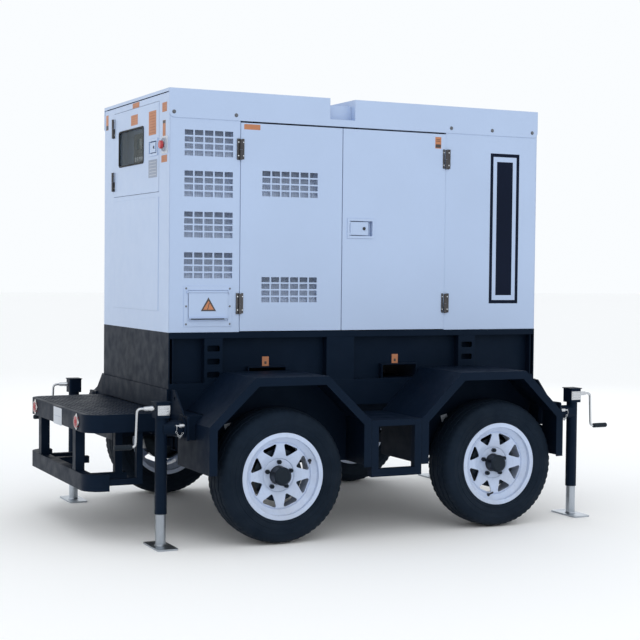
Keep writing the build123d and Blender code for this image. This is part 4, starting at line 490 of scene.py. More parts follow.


# ---- rims and hubs ----------------------------------------------------------
# Pressed steel discs with eight rounded windows, in gloss white enamel drawn as a
# darker blue-grey of painted blue shade, held by five nuts round a black grease
# cap. A rubber valve stem pokes out of each rim.
# White enamel darkened to a blue-grey: painted blue shade.
wheel_white = coat("wheel_white", (0.50, 0.60, 0.80), 0.28, peel=0.10, mottle=0.05, worn=0.2,
                   wear=(0.35, 0.34, 0.33), dust=0.45, dust_colour=(0.36, 0.36, 0.38), level=(0.05, 0.75), gloss=0.3)
# Black with a painted blue cast, and a specular tint that paints its reflections blue.
hub_black = coat("hub_black", (0.0035, 0.0055, 0.010), 0.34, peel=0.2, mottle=0.2, worn=0.4,
                 wear=(0.05, 0.055, 0.06),
                 dust=0.1, dust_colour=(0.05, 0.05, 0.055), level=(0.1, 0.7), shine=0.3, tint=(0.6, 0.8, 1.0))
VALVE_TURNS = {"rear_right": 23, "rear_left": 140, "front_right": -104, "front_left": 60}
for place in ("rear_right", "rear_left", "front_right", "front_left"):
    finish(wheel_white, f"rim_{place}")
    finish(hub_black, f"hub_{place}")
    low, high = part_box(f"rim_{place}")
    axle_x = (low.x + high.x) / 2
    out = -1 if place.endswith("right") else 1
    face = facing((axle_x, low.y if out < 0 else high.y, AXLE_Z), place.split("_")[1])
    valve = bmesh.new()
    swing = Matrix.Rotation(radians(VALVE_TURNS[place]), 4, "Z")
    stem = face @ swing @ Matrix.Translation((0.1665, 0.0, -0.034)) @ Matrix.Rotation(radians(-26), 4, "Y")
    turned(valve,
           [(0.0, 0.0), (0.0085, 0.0), (0.0085, 0.004), (0.0045, 0.010), (0.0040, 0.030), (0.0046, 0.031),
                   (0.0046, 0.041), (0.0036, 0.043), (0.0, 0.043)], stem, 14)
    lay(f"valve_stem_{place}", valve, rubber, f"wheel_{place}")


# ---- side fittings ----------------------------------------------------------
# Dull steel lift-off hinges with two bright pan-head screws a leaf, a coloured
# paddle latch with its key barrel, and small blank stickers and a plain stripe.
hinge_steel = coat("hinge_steel", (0.085, 0.082, 0.085), 0.42, metal=0.9, peel=0.1, mottle=0.25, worn=0.6,
                   wear=(0.4, 0.39, 0.38), soft=0.0006)
bright_steel = coat("bright_screw", (0.66, 0.68, 0.70), 0.25, metal=1.0, peel=0.03, mottle=0.08, soft=0.0002)
dark_plastic = coat("dark_plastic", (0.018, 0.020, 0.024), 0.5, peel=0.3, grain=900.0, mottle=0.15,
                    soft=0.0005)
finish(hinge_steel, "door_hinges")


def pan_screw(bm, place, radius=0.0042):
    """Adds a low domed screw head with a ground edge."""
    turned(bm,
           [(0, 0), (radius, 0), (radius, radius * 0.2), (radius * 0.8, radius * 0.48),
            (radius * 0.4, radius * 0.6),
                (0, radius * 0.62)], place, 16)


fixed_screws, cover_plates = bmesh.new(), bmesh.new()
for side, out in (("right", -1), ("left", 1)):
    for leaf_x, leaf_end in ((REAR + 0.348, REAR + 0.362), (FRONT - 0.563, FRONT - 0.545)):
        middle = (leaf_x + leaf_end) / 2
        for level in (1.126, 1.880):
            slab(cover_plates,
                 (min(leaf_x, leaf_end) - 0.001, min(out * SIDE, out * (SIDE + 0.0034)), level - 0.047),
                 (max(leaf_x, leaf_end) + 0.001, max(out * SIDE, out * (SIDE + 0.0034)),
                  level + 0.053), soft=0.0008)
            for z in (level - 0.030, level + 0.036):
                pan_screw(fixed_screws, facing((middle, out * (SIDE + 0.0034), z), side))
lay("hinge_leaf_covers", cover_plates, hinge_steel)
LEAF_LIFT = 0.0034
KNUCKLE_OUT, SLEEVE_R = 0.0070, 0.00725
for side, out in (("right", -1), ("left", 1)):
    inner, outer = sorted((out * SIDE, out * (SIDE + LEAF_LIFT)))
    for body, leaf_x in ((f"rear_door_{side}", REAR + 0.3745), (f"front_door_{side}", FRONT - 0.5890)):
        plates, screws = bmesh.new(), bmesh.new()
        for level in (1.126, 1.880):
            slab(plates, (leaf_x, inner, level - 0.047), (leaf_x + 0.0105, outer, level + 0.053), soft=0.0008)
            for z in (level - 0.030, level + 0.036):
                pan_screw(screws, facing((leaf_x + 0.0053, out * (SIDE + LEAF_LIFT), z), side), 0.0036)
            pivot_x = leaf_x - 0.0085 if leaf_x < 0 else leaf_x + 0.0190
            pivot = Matrix.Translation((pivot_x, out * (SIDE + KNUCKLE_OUT), level))
            turned(plates, [(0, 0.0005), (SLEEVE_R, 0.0005), (SLEEVE_R, 0.0500), (0, 0.0500)], pivot, 24)
        lay(f"hinge_leaf_{body}", plates, hinge_steel, body)
        lay(f"hinge_leaf_screws_{body}", screws, bright_steel, body)
for body, y0 in ((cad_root, 0.3605), ("control_door", 0.3330)):
    plates, screws = bmesh.new(), bmesh.new()
    for z in (1.701, 1.983):
        slab(plates, (REAR - LEAF_LIFT, y0, z), (REAR, y0 + 0.0105, z + 0.100), soft=0.0008)
        for level in (z + 0.018, z + 0.082):
            pan_screw(screws, facing((REAR - LEAF_LIFT, y0 + 0.0053, level), "rear"), 0.0036)
        if body == "control_door":
            pivot = Matrix.Translation((REAR - KNUCKLE_OUT, y0 + 0.0190, z + 0.050))
            turned(plates, [(0, 0.0005), (SLEEVE_R, 0.0005), (SLEEVE_R, 0.0500), (0, 0.0500)], pivot, 24)
    lay(f"control_hinge_leaf_{body}", plates, hinge_steel, body)
    lay(f"control_hinge_screws_{body}", screws, bright_steel, body)
lay("hinge_screws", fixed_screws, bright_steel)


def sheet_patch(bm, place, width, height, thick=0.0004, corner=0.002, steps=4):
    """Adds a thin sticker with rounded corners, standing on place's xy plane."""
    outline = []
    for cx, cy, start in ((1, 1, 0), (-1, 1, 90), (-1, -1, 180), (1, -1, 270)):
        for i in range(steps + 1):
            angle = radians(start + 90 * i / steps)
            outline.append((cx * (width / 2 - corner) + corner * cos(angle),
                            cy * (height / 2 - corner) + corner * sin(angle)))
    base = [bm.verts.new(place @ Vector((x, y, 0))) for x, y in outline]
    top = [bm.verts.new(place @ Vector((x, y, thick))) for x, y in outline]
    bm.faces.new(top)
    bm.faces.new(list(reversed(base)))
    for i in range(len(outline)):
        j = (i + 1) % len(outline)
        bm.faces.new((base[i], base[j], top[j], top[i]))


label_orange = coat("label_orange", (0.47, 0.185, 0.085), 0.45, peel=0.08, mottle=0.10, soft=0.0002)
label_ink = coat("label_ink", (0.05, 0.04, 0.04), 0.45, peel=0.05, mottle=0.2, soft=0.0002)
label_grey = coat("label_grey", (0.30, 0.35, 0.46), 0.42, metal=0.35, peel=0.15, mottle=0.12, soft=0.0003)
label_pale = coat("label_pale", (0.52, 0.56, 0.62), 0.45, peel=0.08, mottle=0.10, soft=0.0002)


def sticker(name, place, width, height, bars=(), body=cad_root, material=None, bar_material=None):
    """A blank coloured sticker with a few dark bars: each bar is (x, y, width, height) from its middle."""
    card = bmesh.new()
    sheet_patch(card, place, width, height)
    lay(name, card, material or label_orange, body)
    if bars:
        ink = bmesh.new()
        for x, y, w, h in bars:
            sheet_patch(ink, place @ Matrix.Translation((x, y, 0.0004)), w, h, 0.00012, min(w, h) * 0.15, 2)
        lay(name + "_marks", ink, bar_material or label_ink, body)


# Stickers on the near side's doors and their twins on the far side.
for side, out in (("right", -1), ("left", 1)):
    y = out * SIDE
    sticker(f"door_label_{side}", facing((REAR + 0.427, y, 1.993), side), 0.086, 0.026,
            [(0, -0.0095, 0.076, 0.002),
             (0, 0.0, 0.070, 0.0035)], f"rear_door_{side}", bar_material=label_orange)
    sticker(f"front_label_{side}", facing((REAR + 1.482, y, 1.966), side), 0.036, 0.060,
            [(0, -0.017, 0.032, 0.018), (0, 0.016, 0.024, 0.003),
             (0, 0.008, 0.024, 0.003)], f"front_door_{side}")

# A plain navy band inside a thin navy border, cut from film, on the front corner panels.
# The specular tint paints the film's reflections blue.
stripe_navy = coat("stripe_film", (0.0045, 0.0070, 0.0190), 0.4, peel=0.05, mottle=0.12, soft=0.0002,
                   shine=0.12, tint=(0.5, 0.7, 1.0))
BORDER_WIDE, BORDER_TALL, BORDER_LINE = 0.182, 0.800, 0.018
BAND_WIDE, BAND_TALL = 0.100, 0.712
PANEL_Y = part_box("side_panels")[1].y
for side, out in (("right", -1), ("left", 1)):
    stripe = bmesh.new()
    place = facing((REAR + 1.899, out * PANEL_Y, 1.526), side)
    across, along = (BORDER_WIDE - BORDER_LINE) / 2, (BORDER_TALL - BORDER_LINE) / 2
    for x, y, width, height in (
        (-across, 0, BORDER_LINE, BORDER_TALL), (across, 0, BORDER_LINE, BORDER_TALL),
        (0, -along, BORDER_WIDE - 2 * BORDER_LINE, BORDER_LINE), (0, along, BORDER_WIDE - 2 * BORDER_LINE,
                                                                  BORDER_LINE),
        (0, 0, BAND_WIDE, BAND_TALL),
    ):
        sheet_patch(stripe, place @ Matrix.Translation((x, y, 0)), width, height, 0.0004, 0.0008)
    lay(f"stripe_{side}", stripe, stripe_navy)

# The lock barrel in each paddle and the two spring clips beside it.
LATCH_X, LATCH_Z = REAR + 0.954, 1.509
for side, out in (("right", -1), ("left", 1)):
    low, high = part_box(f"door_paddle_{side}")
    finish(canopy_white, f"door_paddle_{side}")
    face_y = low.y if out < 0 else high.y
    barrel = bmesh.new()
    key = facing((high.x - 0.024, face_y, (low.z + high.z) / 2), side)
    turned(barrel, [(0.0085, -0.001), (0.0085, 0.0008), (0.0070, 0.0014), (0.0060, 0.0006), (0.0, 0.0006)],
           key, 24)
    slab(barrel, (-0.0011, -0.0045, 0.0005), (0.0011, 0.0045, 0.0011), key)
    lay(f"key_barrel_{side}", barrel, dark_plastic, f"paddle_{side}")
    pan = bmesh.new()
    slab(pan, (LATCH_X + 0.0, min(out * (SIDE - 0.0235), out * (SIDE - 0.0225)), LATCH_Z - 0.036),
         (LATCH_X + 0.128, max(out * (SIDE - 0.0235), out * (SIDE - 0.0225)), LATCH_Z + 0.036))
    lay(f"latch_back_{side}", pan, dark_plastic, f"front_door_{side}")
    clips = bmesh.new()
    for z in (LATCH_Z - 0.028, LATCH_Z + 0.028):
        slab(clips, (LATCH_X + 0.004, min(out * (SIDE + 0.001), out * (SIDE + 0.0045)), z - 0.006),
             (LATCH_X + 0.016, max(out * (SIDE + 0.001), out * (SIDE + 0.0045)), z + 0.006), soft=0.0015)
    lay(f"latch_clips_{side}", clips, canopy_white, f"front_door_{side}")


# ---- cable outlet -----------------------------------------------------------
# A screwed plate with a top-hung flap over the cable hole, on the near side, and
# above the flap a blank triangular sticker.
low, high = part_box("outlet_frame")
plate_y = -(0.517 + 0.003)
screws = bmesh.new()
for x in (low.x + 0.011, high.x - 0.011):
    for z in (low.z + 0.012, (low.z + high.z) / 2, high.z - 0.012):
        pan_screw(screws, facing((x, plate_y, z), "right"), 0.005)
lay("outlet_screws", screws, zinc)
flap_low, flap_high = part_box("outlet_flap")
triangle = bmesh.new()
flap_face = -0.5252
apex, base = flap_low.z + 0.098, flap_low.z + 0.035
centre_x = (flap_low.x + flap_high.x) / 2
outer = [(centre_x - 0.040, base), (centre_x + 0.040, base), (centre_x, apex + 0.004)]
rim = [triangle.verts.new((x, flap_face, z)) for x, z in outer]
front = [triangle.verts.new((x, flap_face - 0.0004, z)) for x, z in outer]
triangle.faces.new(front)
triangle.faces.new(rim)
for i in range(3):
    j = (i + 1) % 3
    triangle.faces.new((rim[i], rim[j], front[j], front[i]))
lay("flap_triangle", triangle, label_ink, "outlet_flap")
triangle = bmesh.new()
inner = [(centre_x - 0.0275, base + 0.0075), (centre_x + 0.0275, base + 0.0075), (centre_x, apex - 0.0125)]
rim = [triangle.verts.new((x, flap_face - 0.0004, z)) for x, z in inner]
front = [triangle.verts.new((x, flap_face - 0.0007, z)) for x, z in inner]
triangle.faces.new(front)
triangle.faces.new(rim)
for i in range(3):
    j = (i + 1) % 3
    triangle.faces.new((rim[i], rim[j], front[j], front[i]))
lay("flap_triangle_field", triangle, label_orange, "outlet_flap")
mark = bmesh.new()
for turn, x, z in ((-24, 0.002, 0.012), (-24, -0.002, -0.004)):
    place = facing((centre_x, flap_face - 0.0007, base + 0.022), "right")
    tilt = Matrix.Translation((x, z - 0.002, 0)) @ Matrix.Rotation(radians(turn), 4, "Z")
    sheet_patch(mark, place @ tilt, 0.0035, 0.018, 0.0002, 0.0005, 2)
lay("flap_triangle_mark", mark, label_ink, "outlet_flap")
hood = bmesh.new()
slab(hood, (flap_low.x + 0.006, -0.470, flap_low.z - 0.018), (flap_high.x - 0.006, -0.466, flap_high.z))
lay("outlet_backing", hood, foam)


# ---- control end ------------------------------------------------------------
# The rear wall holds the window over the controller, a small paddle latch, the
# emergency stop and a row of blank stickers. Inside the niche are the controller
# with its screen and keys, and the main breaker with its toggle.
finish(canopy_white, "control_paddle", "control_panel")
collar_white = coat("collar_white", (0.60, 0.64, 0.72), 0.38, peel=0.05, mottle=0.04, soft=0.0006, gloss=0.3)
button_red = coat("button_red", (0.46, 0.020, 0.030), 0.28, peel=0.05, mottle=0.10, soft=0.0006, gloss=0.5)
finish(collar_white, "e_stop_collar")
finish(button_red, "e_stop_button")
panel_grey = coat("panel_grey", (0.045, 0.052, 0.062), 0.48, peel=0.3, grain=800.0, mottle=0.12, soft=0.001)
finish(panel_grey, "controller")

window_clear = bpy.data.materials.new("window_clear")
window_clear.use_nodes = True
tree = window_clear.node_tree
glass = tree.nodes["Principled BSDF"]
glass.inputs["Base Color"].default_value = (0.05, 0.075, 0.07, 1)
glass.inputs["Specular IOR Level"].default_value = 0.18
glass.inputs["IOR"].default_value = 1.49
glass.inputs["Alpha"].default_value = 0.24
haze = tree.nodes.new("ShaderNodeTexNoise")
haze.inputs["Scale"].default_value = 14.0
haze.inputs["Detail"].default_value = 4.0
haze_place = tree.nodes.new("ShaderNodeTexCoord")
haze_range = tree.nodes.new("ShaderNodeMapRange")
haze_range.inputs["To Min"].default_value = 0.02
haze_range.inputs["To Max"].default_value = 0.12
tree.links.new(haze_place.outputs["Object"], haze.inputs["Vector"])
tree.links.new(haze.outputs["Fac"], haze_range.inputs["Value"])
tree.links.new(haze_range.outputs["Result"], glass.inputs["Roughness"])
finish(window_clear, "control_window")

low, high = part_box("control_window")
gasket = bmesh.new()
WINDOW_Y0, WINDOW_Y1 = low.y + 0.012, high.y - 0.012
WINDOW_Z0, WINDOW_Z1 = low.z + 0.012, high.z - 0.012
GASKET_R = 0.0045
frame_x = REAR - 0.0015
corner_r = 0.012
loop = []
for cy, cz, start in ((WINDOW_Y1, WINDOW_Z1, 0), (WINDOW_Y0, WINDOW_Z1, 90), (WINDOW_Y0, WINDOW_Z0, 180),
                      (WINDOW_Y1, WINDOW_Z0, 270)):
    middle_y = cy - corner_r if cy == WINDOW_Y1 else cy + corner_r
    middle_z = cz - corner_r if cz == WINDOW_Z1 else cz + corner_r
    for i in range(5):
        angle = radians(start + 90 * i / 4)
        loop.append((frame_x, middle_y + corner_r * cos(angle), middle_z + corner_r * sin(angle)))
run(gasket, loop, GASKET_R, 10, closed=True)
lay("window_gasket", gasket, rubber, "control_door", sharp=60)

low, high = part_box("controller")
fascia = facing((low.x, (low.y + high.y) / 2, (low.z + high.z) / 2), "rear")
screen_glass = coat("screen_glass", (0.015, 0.03, 0.035), 0.12, peel=0.0, mottle=0.1, soft=0.0005, gloss=0.6)
screen = bmesh.new()
slab(screen, (-0.056, 0.004, 0.0), (0.040, 0.058, 0.0012), fascia, soft=0.0005)
lay("controller_screen", screen, screen_glass)
keys = bmesh.new()
for i in range(5):
    slab(keys, (-0.082 + i * 0.034, -0.058, 0.0), (-0.060 + i * 0.034, -0.036, 0.0026), fascia, soft=0.0012)
for i in range(4):
    turned(keys, [(0, 0), (0.0065, 0), (0.0065, 0.0018), (0.005, 0.0026), (0, 0.0026)],
           fascia @ Matrix.Translation((0.068, 0.048 - i * 0.018, 0)), 16)
lay("controller_keys", keys, label_pale)
lights = bmesh.new()
for i in range(4):
    turned(lights, [(0, 0), (0.0022, 0), (0.0020, 0.0015), (0, 0.0022)],
           fascia @ Matrix.Translation((0.086, 0.048 - i * 0.018, 0)), 12)
lay("controller_lights", lights, button_red)

breaker, toggle = bmesh.new(), bmesh.new()
breaker_y, breaker_z = low.y - 0.085, (low.z + high.z) / 2 - 0.020
slab(breaker, (high.x - 0.032, breaker_y - 0.042, breaker_z - 0.080),
     (high.x, breaker_y + 0.042, breaker_z + 0.080), soft=0.003)
slab(breaker, (high.x - 0.040, breaker_y - 0.028, breaker_z - 0.034),
     (high.x - 0.031, breaker_y + 0.028, breaker_z + 0.034), soft=0.002)
lay("main_breaker", breaker, dark_plastic)
slab(toggle, (high.x - 0.052, breaker_y - 0.008, breaker_z - 0.020),
     (high.x - 0.039, breaker_y + 0.008, breaker_z - 0.004), soft=0.002)
lay("breaker_toggle", toggle, label_pale)

latch_low, latch_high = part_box("control_paddle")
barrel = bmesh.new()
key = facing((latch_low.x, latch_low.y + 0.022, (latch_low.z + latch_high.z) / 2), "rear")
turned(barrel, [(0.0075, -0.001), (0.0075, 0.0008), (0.0062, 0.0014), (0.0054, 0.0006), (0.0, 0.0006)],
       key, 24)
slab(barrel, (-0.001, -0.004, 0.0005), (0.001, 0.004, 0.0011), key)
lay("control_key_barrel", barrel, dark_plastic, "control_paddle")

low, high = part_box("e_stop_collar")
ring = bmesh.new()
turned(ring,
       [(0.0235, 0.0), (0.033, 0.0), (0.033, 0.0022), (0.031, 0.0034), (0.0255, 0.0034), (0.0235, 0.0022),
        (0.0235, 0.0)],
       facing((low.x, (low.y + high.y) / 2, (low.z + high.z) / 2), "rear"), 40)
lay("e_stop_ring", ring, label_grey)
screws = bmesh.new()
for dy in (-0.034, 0.034):
    for dz in (-0.034, 0.034):
        pan_screw(screws, facing((low.x, (low.y + high.y) / 2 + dy, (low.z + high.z) / 2 + dz), "rear"),
                  0.0028)
lay("e_stop_screws", screws, bright_steel)

WALL_X = REAR - 0.0002
DOOR_FACE_X = REAR - 0.001


def lines(width, height, count):
    """Evenly spaced thin bars that fill a sticker."""
    step = height / (count + 0.6)
    return [(0, height / 2 - (i + 0.8) * step, width * 0.78, height * 0.035) for i in range(count)]


rust_ink = coat("rust_ink", (0.36, 0.125, 0.05), 0.45, peel=0.05, mottle=0.15, soft=0.0002)
sticker("wall_label_top", facing((WALL_X - 0.0001, -0.010, 2.124), "rear"), 0.105, 0.026,
        [(0, -0.006, 0.09, 0.003)], bar_material=rust_ink)
sticker("door_label_window", facing((DOOR_FACE_X, 0.012, 2.051), "rear"), 0.108, 0.052,
        lines(0.108, 0.052, 4), "control_door", bar_material=rust_ink)
sticker("door_label_tall", facing((DOOR_FACE_X, -0.270, 2.012), "rear"), 0.110, 0.118,
        lines(0.110, 0.118, 8), "control_door", bar_material=rust_ink)
sticker("wall_label_corner", facing((WALL_X, -0.445, 2.074), "rear"), 0.066, 0.045, lines(0.066, 0.045, 3),
        bar_material=rust_ink)
sticker("wall_label_narrow", facing((WALL_X, -0.440, 1.972), "rear"), 0.040, 0.078,
        [(0, 0.031, 0.038, 0.014)])
sticker("wall_label_low", facing((WALL_X, -0.443, 1.826), "rear"), 0.082, 0.034, lines(0.082, 0.034, 2),
        bar_material=rust_ink)
sticker("wall_label_far", facing((WALL_X, 0.475, 2.076), "rear"), 0.040, 0.080, [(0, -0.027, 0.038, 0.024)])
sticker("data_plate", facing((DOOR_FACE_X, -0.278, 1.787), "rear"), 0.128, 0.088, lines(0.128, 0.088, 5),
        "control_door", material=label_grey, bar_material=label_pale)


# ---- tags on the skid -------------------------------------------------------
# Small orange lifting tags above each fork tunnel, and white inspection stickers
# inside the fenders.
WEB_Y = SIDE - 0.045
FENDER_BOARD = 0.6682
for side, out in (("right", -1), ("left", 1)):
    for i, x in enumerate((0.5275, 1.2625)):
        sticker(f"fork_tag_{side}_{i + 1}", facing((REAR + x, out * WEB_Y, 0.835), side), 0.036, 0.054,
                [(0, -0.004, 0.012, 0.014)])
    for i, axle_x in enumerate((-0.567, 0.633)):
        place = facing((axle_x - 0.186, out * FENDER_BOARD, 0.532),
                       side) @ Matrix.Rotation(radians(-14 * out), 4, "Z")
        sticker(f"fender_label_{side}_{i + 1}", place, 0.038, 0.052,
                [(0, 0.012, 0.028, 0.002), (0, 0.003, 0.028, 0.002)],
                material=label_pale, bar_material=label_grey)


# ---- jacks ------------------------------------------------------------------
# Screw jacks: a black outer tube and gear head, a galvanised inner leg, and a
# bent galvanised crank with a turned sleeve and a black moulded grip. A clamped
# cover keeps grit out of the gears, and a spring pin on a short chain locks the
# swivel.
galvanised = coat("galvanised", (0.40, 0.44, 0.49), 0.36, metal=1.0, peel=0.10, grain=260.0, mottle=0.16,
                  worn=0.2,
                  wear=(0.25, 0.24, 0.23), dust=0.25, dust_colour=(0.24, 0.24, 0.25), level=(0.0, 0.25), soft=0.0006)
bright_rod = coat("bright_rod", (0.56, 0.58, 0.61), 0.24, metal=1.0, peel=0.05, mottle=0.10, soft=0.0004)
# The specular tint paints the grip's reflections blue.
grip_black = coat("grip_black", (0.006, 0.008, 0.012), 0.45, peel=0.3, grain=700.0, mottle=0.15, soft=0.0008,
                  shine=0.3, tint=(0.6, 0.8, 1.0))
CRANK_LEVEL, CRANK_BOW = 0.648, 0.472


def bent(points, radius, steps=6):
    """Points along a bar with every inner corner swept round at the given radius."""
    path = [Vector(points[0])]
    for before, corner, after in zip(points, points[1:], points[2:]):
        corner = Vector(corner)
        arrive, leave = (Vector(before) - corner).normalized(), (Vector(after) - corner).normalized()
        start, end = corner + arrive * radius, corner + leave * radius
        for i in range(steps + 1):
            t = i / steps
            path.append(start * (1 - t) ** 2 + corner * 2 * t * (1 - t) + end * t ** 2)
    path.append(Vector(points[-1]))
    return path


def ring_link(bm, centre, turn, length=0.013, width=0.0075, wire=0.0011):
    """Adds one oval chain link, lying in the xz plane of turn."""
    loop = []
    for i in range(12):
        angle = tau * i / 12
        loop.append(centre + turn @ Vector((width / 2 * cos(angle), 0, length / 2 * sin(angle))))
    run(bm, loop, wire, 6, closed=True)


for place in ("rear_right", "rear_left", "front_right", "front_left"):
    low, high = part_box(f"jack_leg_{place}")
    x, y = (low.x + high.x) / 2, (low.y + high.y) / 2
    away = -1 if place.startswith("rear") else 1
    out = -1 if place.endswith("right") else 1
    finish(galvanised, f"jack_leg_{place}")

    crank = bmesh.new()
    arm_top, arm_foot = x + away * 0.1165, x + away * 0.1235
    run(crank, bent([(x + away * 0.014, y, CRANK_LEVEL), (arm_top, y, CRANK_LEVEL), (arm_foot, y, CRANK_BOW),
                     (x + away * 0.150, y, CRANK_BOW)], 0.020), 0.0062, 14)
    outward = facing((x, y, CRANK_LEVEL), "rear" if away < 0 else "front")
    turned(crank,
           [(0.0, 0.036), (0.0120, 0.036), (0.0120, 0.052), (0.0105, 0.055), (0.0105, 0.078),
            (0.0085, 0.086),
                   (0.0, 0.086)], outward, 24)
    crank = lay(f"crank_rod_{place}", crank, bright_rod, f"crank_{place}")
    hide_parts(f"jack_crank_{place}")
    grip = bmesh.new()
    handle = facing((x, y, CRANK_BOW), "rear" if away < 0 else "front")
    profile = [(0.0, 0.140), (0.0095, 0.140), (0.0118, 0.143)]
    for i in range(5):
        at = 0.152 + i * 0.014
        profile += [(0.0125, at), (0.0125, at + 0.010), (0.0118, at + 0.0115), (0.0118, at + 0.0125)]
    profile += [(0.0125, 0.222), (0.0105, 0.2262), (0.0060, 0.228), (0.0, 0.228)]
    turned(grip, profile, handle, 28)
    lay(f"crank_grip_{place}", grip, grip_black, f"crank_{place}")

    head_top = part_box(f"jack_body_{place}")[1].z
    cover, cap = bmesh.new(), bmesh.new()
    slab(cap, (x - 0.0365, y - 0.0405, head_top - 0.0005), (x + 0.0365, y + 0.0405, head_top + 0.0045),
         soft=0.0016)
    lay(f"head_cap_{place}", cap, frame_black, f"jack_{place}", sharp=24)
    face_y = y + out * 0.038
    for i in range(3):
        z = head_top - 0.0540 + i * 0.0125
        slab(cover, (x - 0.024, min(face_y, face_y + out * 0.0034), z),
             (x + 0.024, max(face_y, face_y + out * 0.0034), z + 0.0092),
             soft=0.0013)
    slab(cover, (x - 0.030, min(face_y, face_y + out * 0.0014), head_top - 0.0580),
         (x + 0.030, max(face_y, face_y + out * 0.0014), head_top - 0.0130), soft=0.0005)
    for screw_x in (x - 0.027, x + 0.027):
        pan_screw(cover,
                  facing((screw_x, face_y + out * 0.0014, head_top - 0.018),
                         "right" if out < 0 else "left"), 0.0028)
    lay(f"gear_cover_{place}", cover, bright_rod, f"jack_{place}", sharp=24)

    # The spring pin through the swivel flange, with its pull ring and chain.
    inward = -away
    flange_x = x + inward * 0.097
    pin_y, pin_z = y + out * 0.0385, 0.5525 + 0.014
    pin = bmesh.new()
    start = facing((flange_x, pin_y, pin_z), "rear" if inward > 0 else "front")
    turned(pin,
           [(0.0, -0.001), (0.0095, -0.001), (0.0095, 0.022), (0.0080, 0.024), (0.0045, 0.024),
            (0.0045, 0.036),
                 (0.0060, 0.0365), (0.0060, 0.040), (0.0, 0.0405)], start, 20)
    ring_at = Vector((flange_x - inward * 0.0375, pin_y, pin_z - 0.011))
    ring_link(pin, ring_at, Matrix.Rotation(radians(90), 3, "Z"), 0.026, 0.024, 0.0013)
    links = 9
    hook = Vector((flange_x - inward * 0.004, pin_y - out * 0.002, pin_z - 0.031))
    for i in range(links):
        t = (i + 0.5) / links
        sag = 0.022 * (1 - (2 * t - 1) ** 2)
        at = ring_at.lerp(hook, t) + Vector((0, out * 0.003, -0.013 * (1 - t) - sag))
        lean = Matrix.Rotation(radians(-inward * (58 - 116 * t)), 3, "Y")
        ring_link(pin, at, lean @ Matrix.Rotation(radians(90 * (i % 2)), 3, "Z"), 0.0125, 0.0075)
    lay(f"swivel_pin_{place}", pin, bright_rod, f"jack_{place}")


# ---- rear deck --------------------------------------------------------------
# Five-bar tread plate over the deck, rows of rolled lozenges turned by turns, and
# under it a fascia with two screwed lamps and a blank number plate.
low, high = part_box("rear_deck")
DECK_TOP = 0.605
tread = bmesh.new()
PITCH = 0.0235
rows = int((REAR - low.x - 0.03) / PITCH)
columns = int((high.y - low.y - 0.04) / PITCH)
for i in range(rows):
    for j in range(columns):
        x = low.x + 0.022 + (i + 0.5) * PITCH
        y = low.y + 0.02 + (j + 0.5) * PITCH
        corner_x, corner_y = low.x + 0.09, high.y - 0.09
        if x < corner_x and abs(y) > corner_y and (corner_x - x) ** 2 + (abs(y) - corner_y) ** 2 > 0.078 ** 2:
            continue
        turn = Matrix.Rotation(radians(45 if (i + j) % 2 else -45), 4, "Z")
        place = Matrix.Translation((x, y, DECK_TOP - 0.0002)) @ turn
        outline = [(-0.0095, 0), (-0.004, 0.0026), (0.004, 0.0026), (0.0095, 0), (0.004, -0.0026),
                   (-0.004, -0.0026)]
        foot = [tread.verts.new(place @ Vector((a, b, 0))) for a, b in outline]
        top = [tread.verts.new(place @ Vector((a * 0.7, b * 0.55, 0.0014))) for a, b in outline]
        tread.faces.new(top)
        tread.faces.new(list(reversed(foot)))
        for k in range(6):
            m = (k + 1) % 6
            tread.faces.new((foot[k], foot[m], top[m], top[k]))
lay("deck_tread", tread, frame_black, sharp=20)

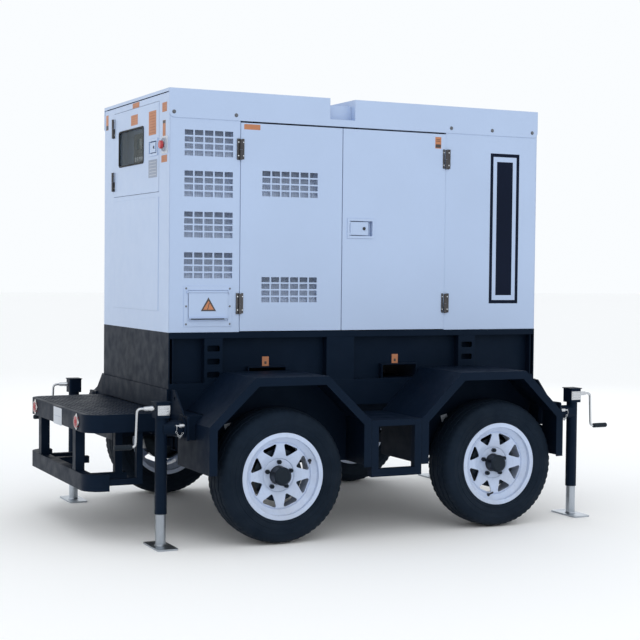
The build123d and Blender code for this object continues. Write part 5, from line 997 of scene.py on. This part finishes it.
lamp_red = coat("lamp_red", (0.34, 0.018, 0.028), 0.18, peel=0.0, mottle=0.12, soft=0.0004, gloss=0.6)
chrome = coat("lamp_chrome", (0.62, 0.60, 0.60), 0.18, metal=1.0, peel=0.02, mottle=0.08, soft=0.0004)
lamps_low, lamps_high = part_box("tail_lamps")
lens, bezel = bmesh.new(), bmesh.new()
for out in (-1, 1):
    place = facing((lamps_high.x, out * 0.385, (lamps_low.z + lamps_high.z) / 2), "rear")
    profile = [(0.0, 0.0), (0.029, 0.0), (0.029, 0.0085)]
    for i in range(9):
        radius = 0.0275 - i * 0.0029
        crown = 0.0118 - 0.0030 * (radius / 0.0275) ** 2
        profile += [(radius, crown), (radius - 0.0015, crown - 0.0008)]
    profile.append((0.0, 0.0112))
    turned(lens, profile, place, 40)
    corner = place @ Matrix.Rotation(radians(45), 4, "Z")
    slab(bezel, (-0.0289, -0.0289, 0.0), (0.0289, 0.0289, 0.0060), corner, soft=0.0022)
    turned(bezel,
           [(0.0300, 0.0060), (0.0300, 0.0086), (0.0290, 0.0094), (0.0284, 0.0086),
            (0.0284, 0.0060)], place, 40)
lens = lay("tail_lamp_lenses", lens, lamp_red, sharp=50)
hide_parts("tail_lamps")
lay("tail_lamp_bezels", bezel, chrome, sharp=50)
sticker("number_plate", facing((low.x, -0.040, 0.556), "rear"), 0.150, 0.085, [(0, 0, 0.128, 0.002)],
        material=label_pale, bar_material=label_grey)


# ---- engine bay -------------------------------------------------------------
# Grey-painted iron castings, an aluminium-finned radiator in black paint, a
# heat-stained silencer and a black moulded battery, all behind the doors.
engine_grey = coat("engine_grey", (0.075, 0.085, 0.095), 0.5, peel=0.3, grain=260.0, mottle=0.2, worn=0.3,
                   dust=0.15)
machined_steel = coat("machined_steel", (0.42, 0.43, 0.45), 0.3, metal=1.0, peel=0.05, mottle=0.15,
                      soft=0.0005)
radiator_black = coat("radiator_black", (0.012, 0.013, 0.015), 0.6, peel=0.4, grain=520.0, mottle=0.2)
exhaust_steel = coat("exhaust_steel", (0.24, 0.20, 0.17), 0.55, metal=0.9, peel=0.3, mottle=0.35, worn=0.3)
battery_black = coat("battery_black", (0.010, 0.011, 0.013), 0.5, peel=0.2, grain=600.0, mottle=0.15)
finish(engine_grey, "engine", "alternator")
finish(machined_steel, "crank_train")
finish(radiator_black, "radiator")
finish(exhaust_steel, "muffler")
finish(battery_black, "battery")
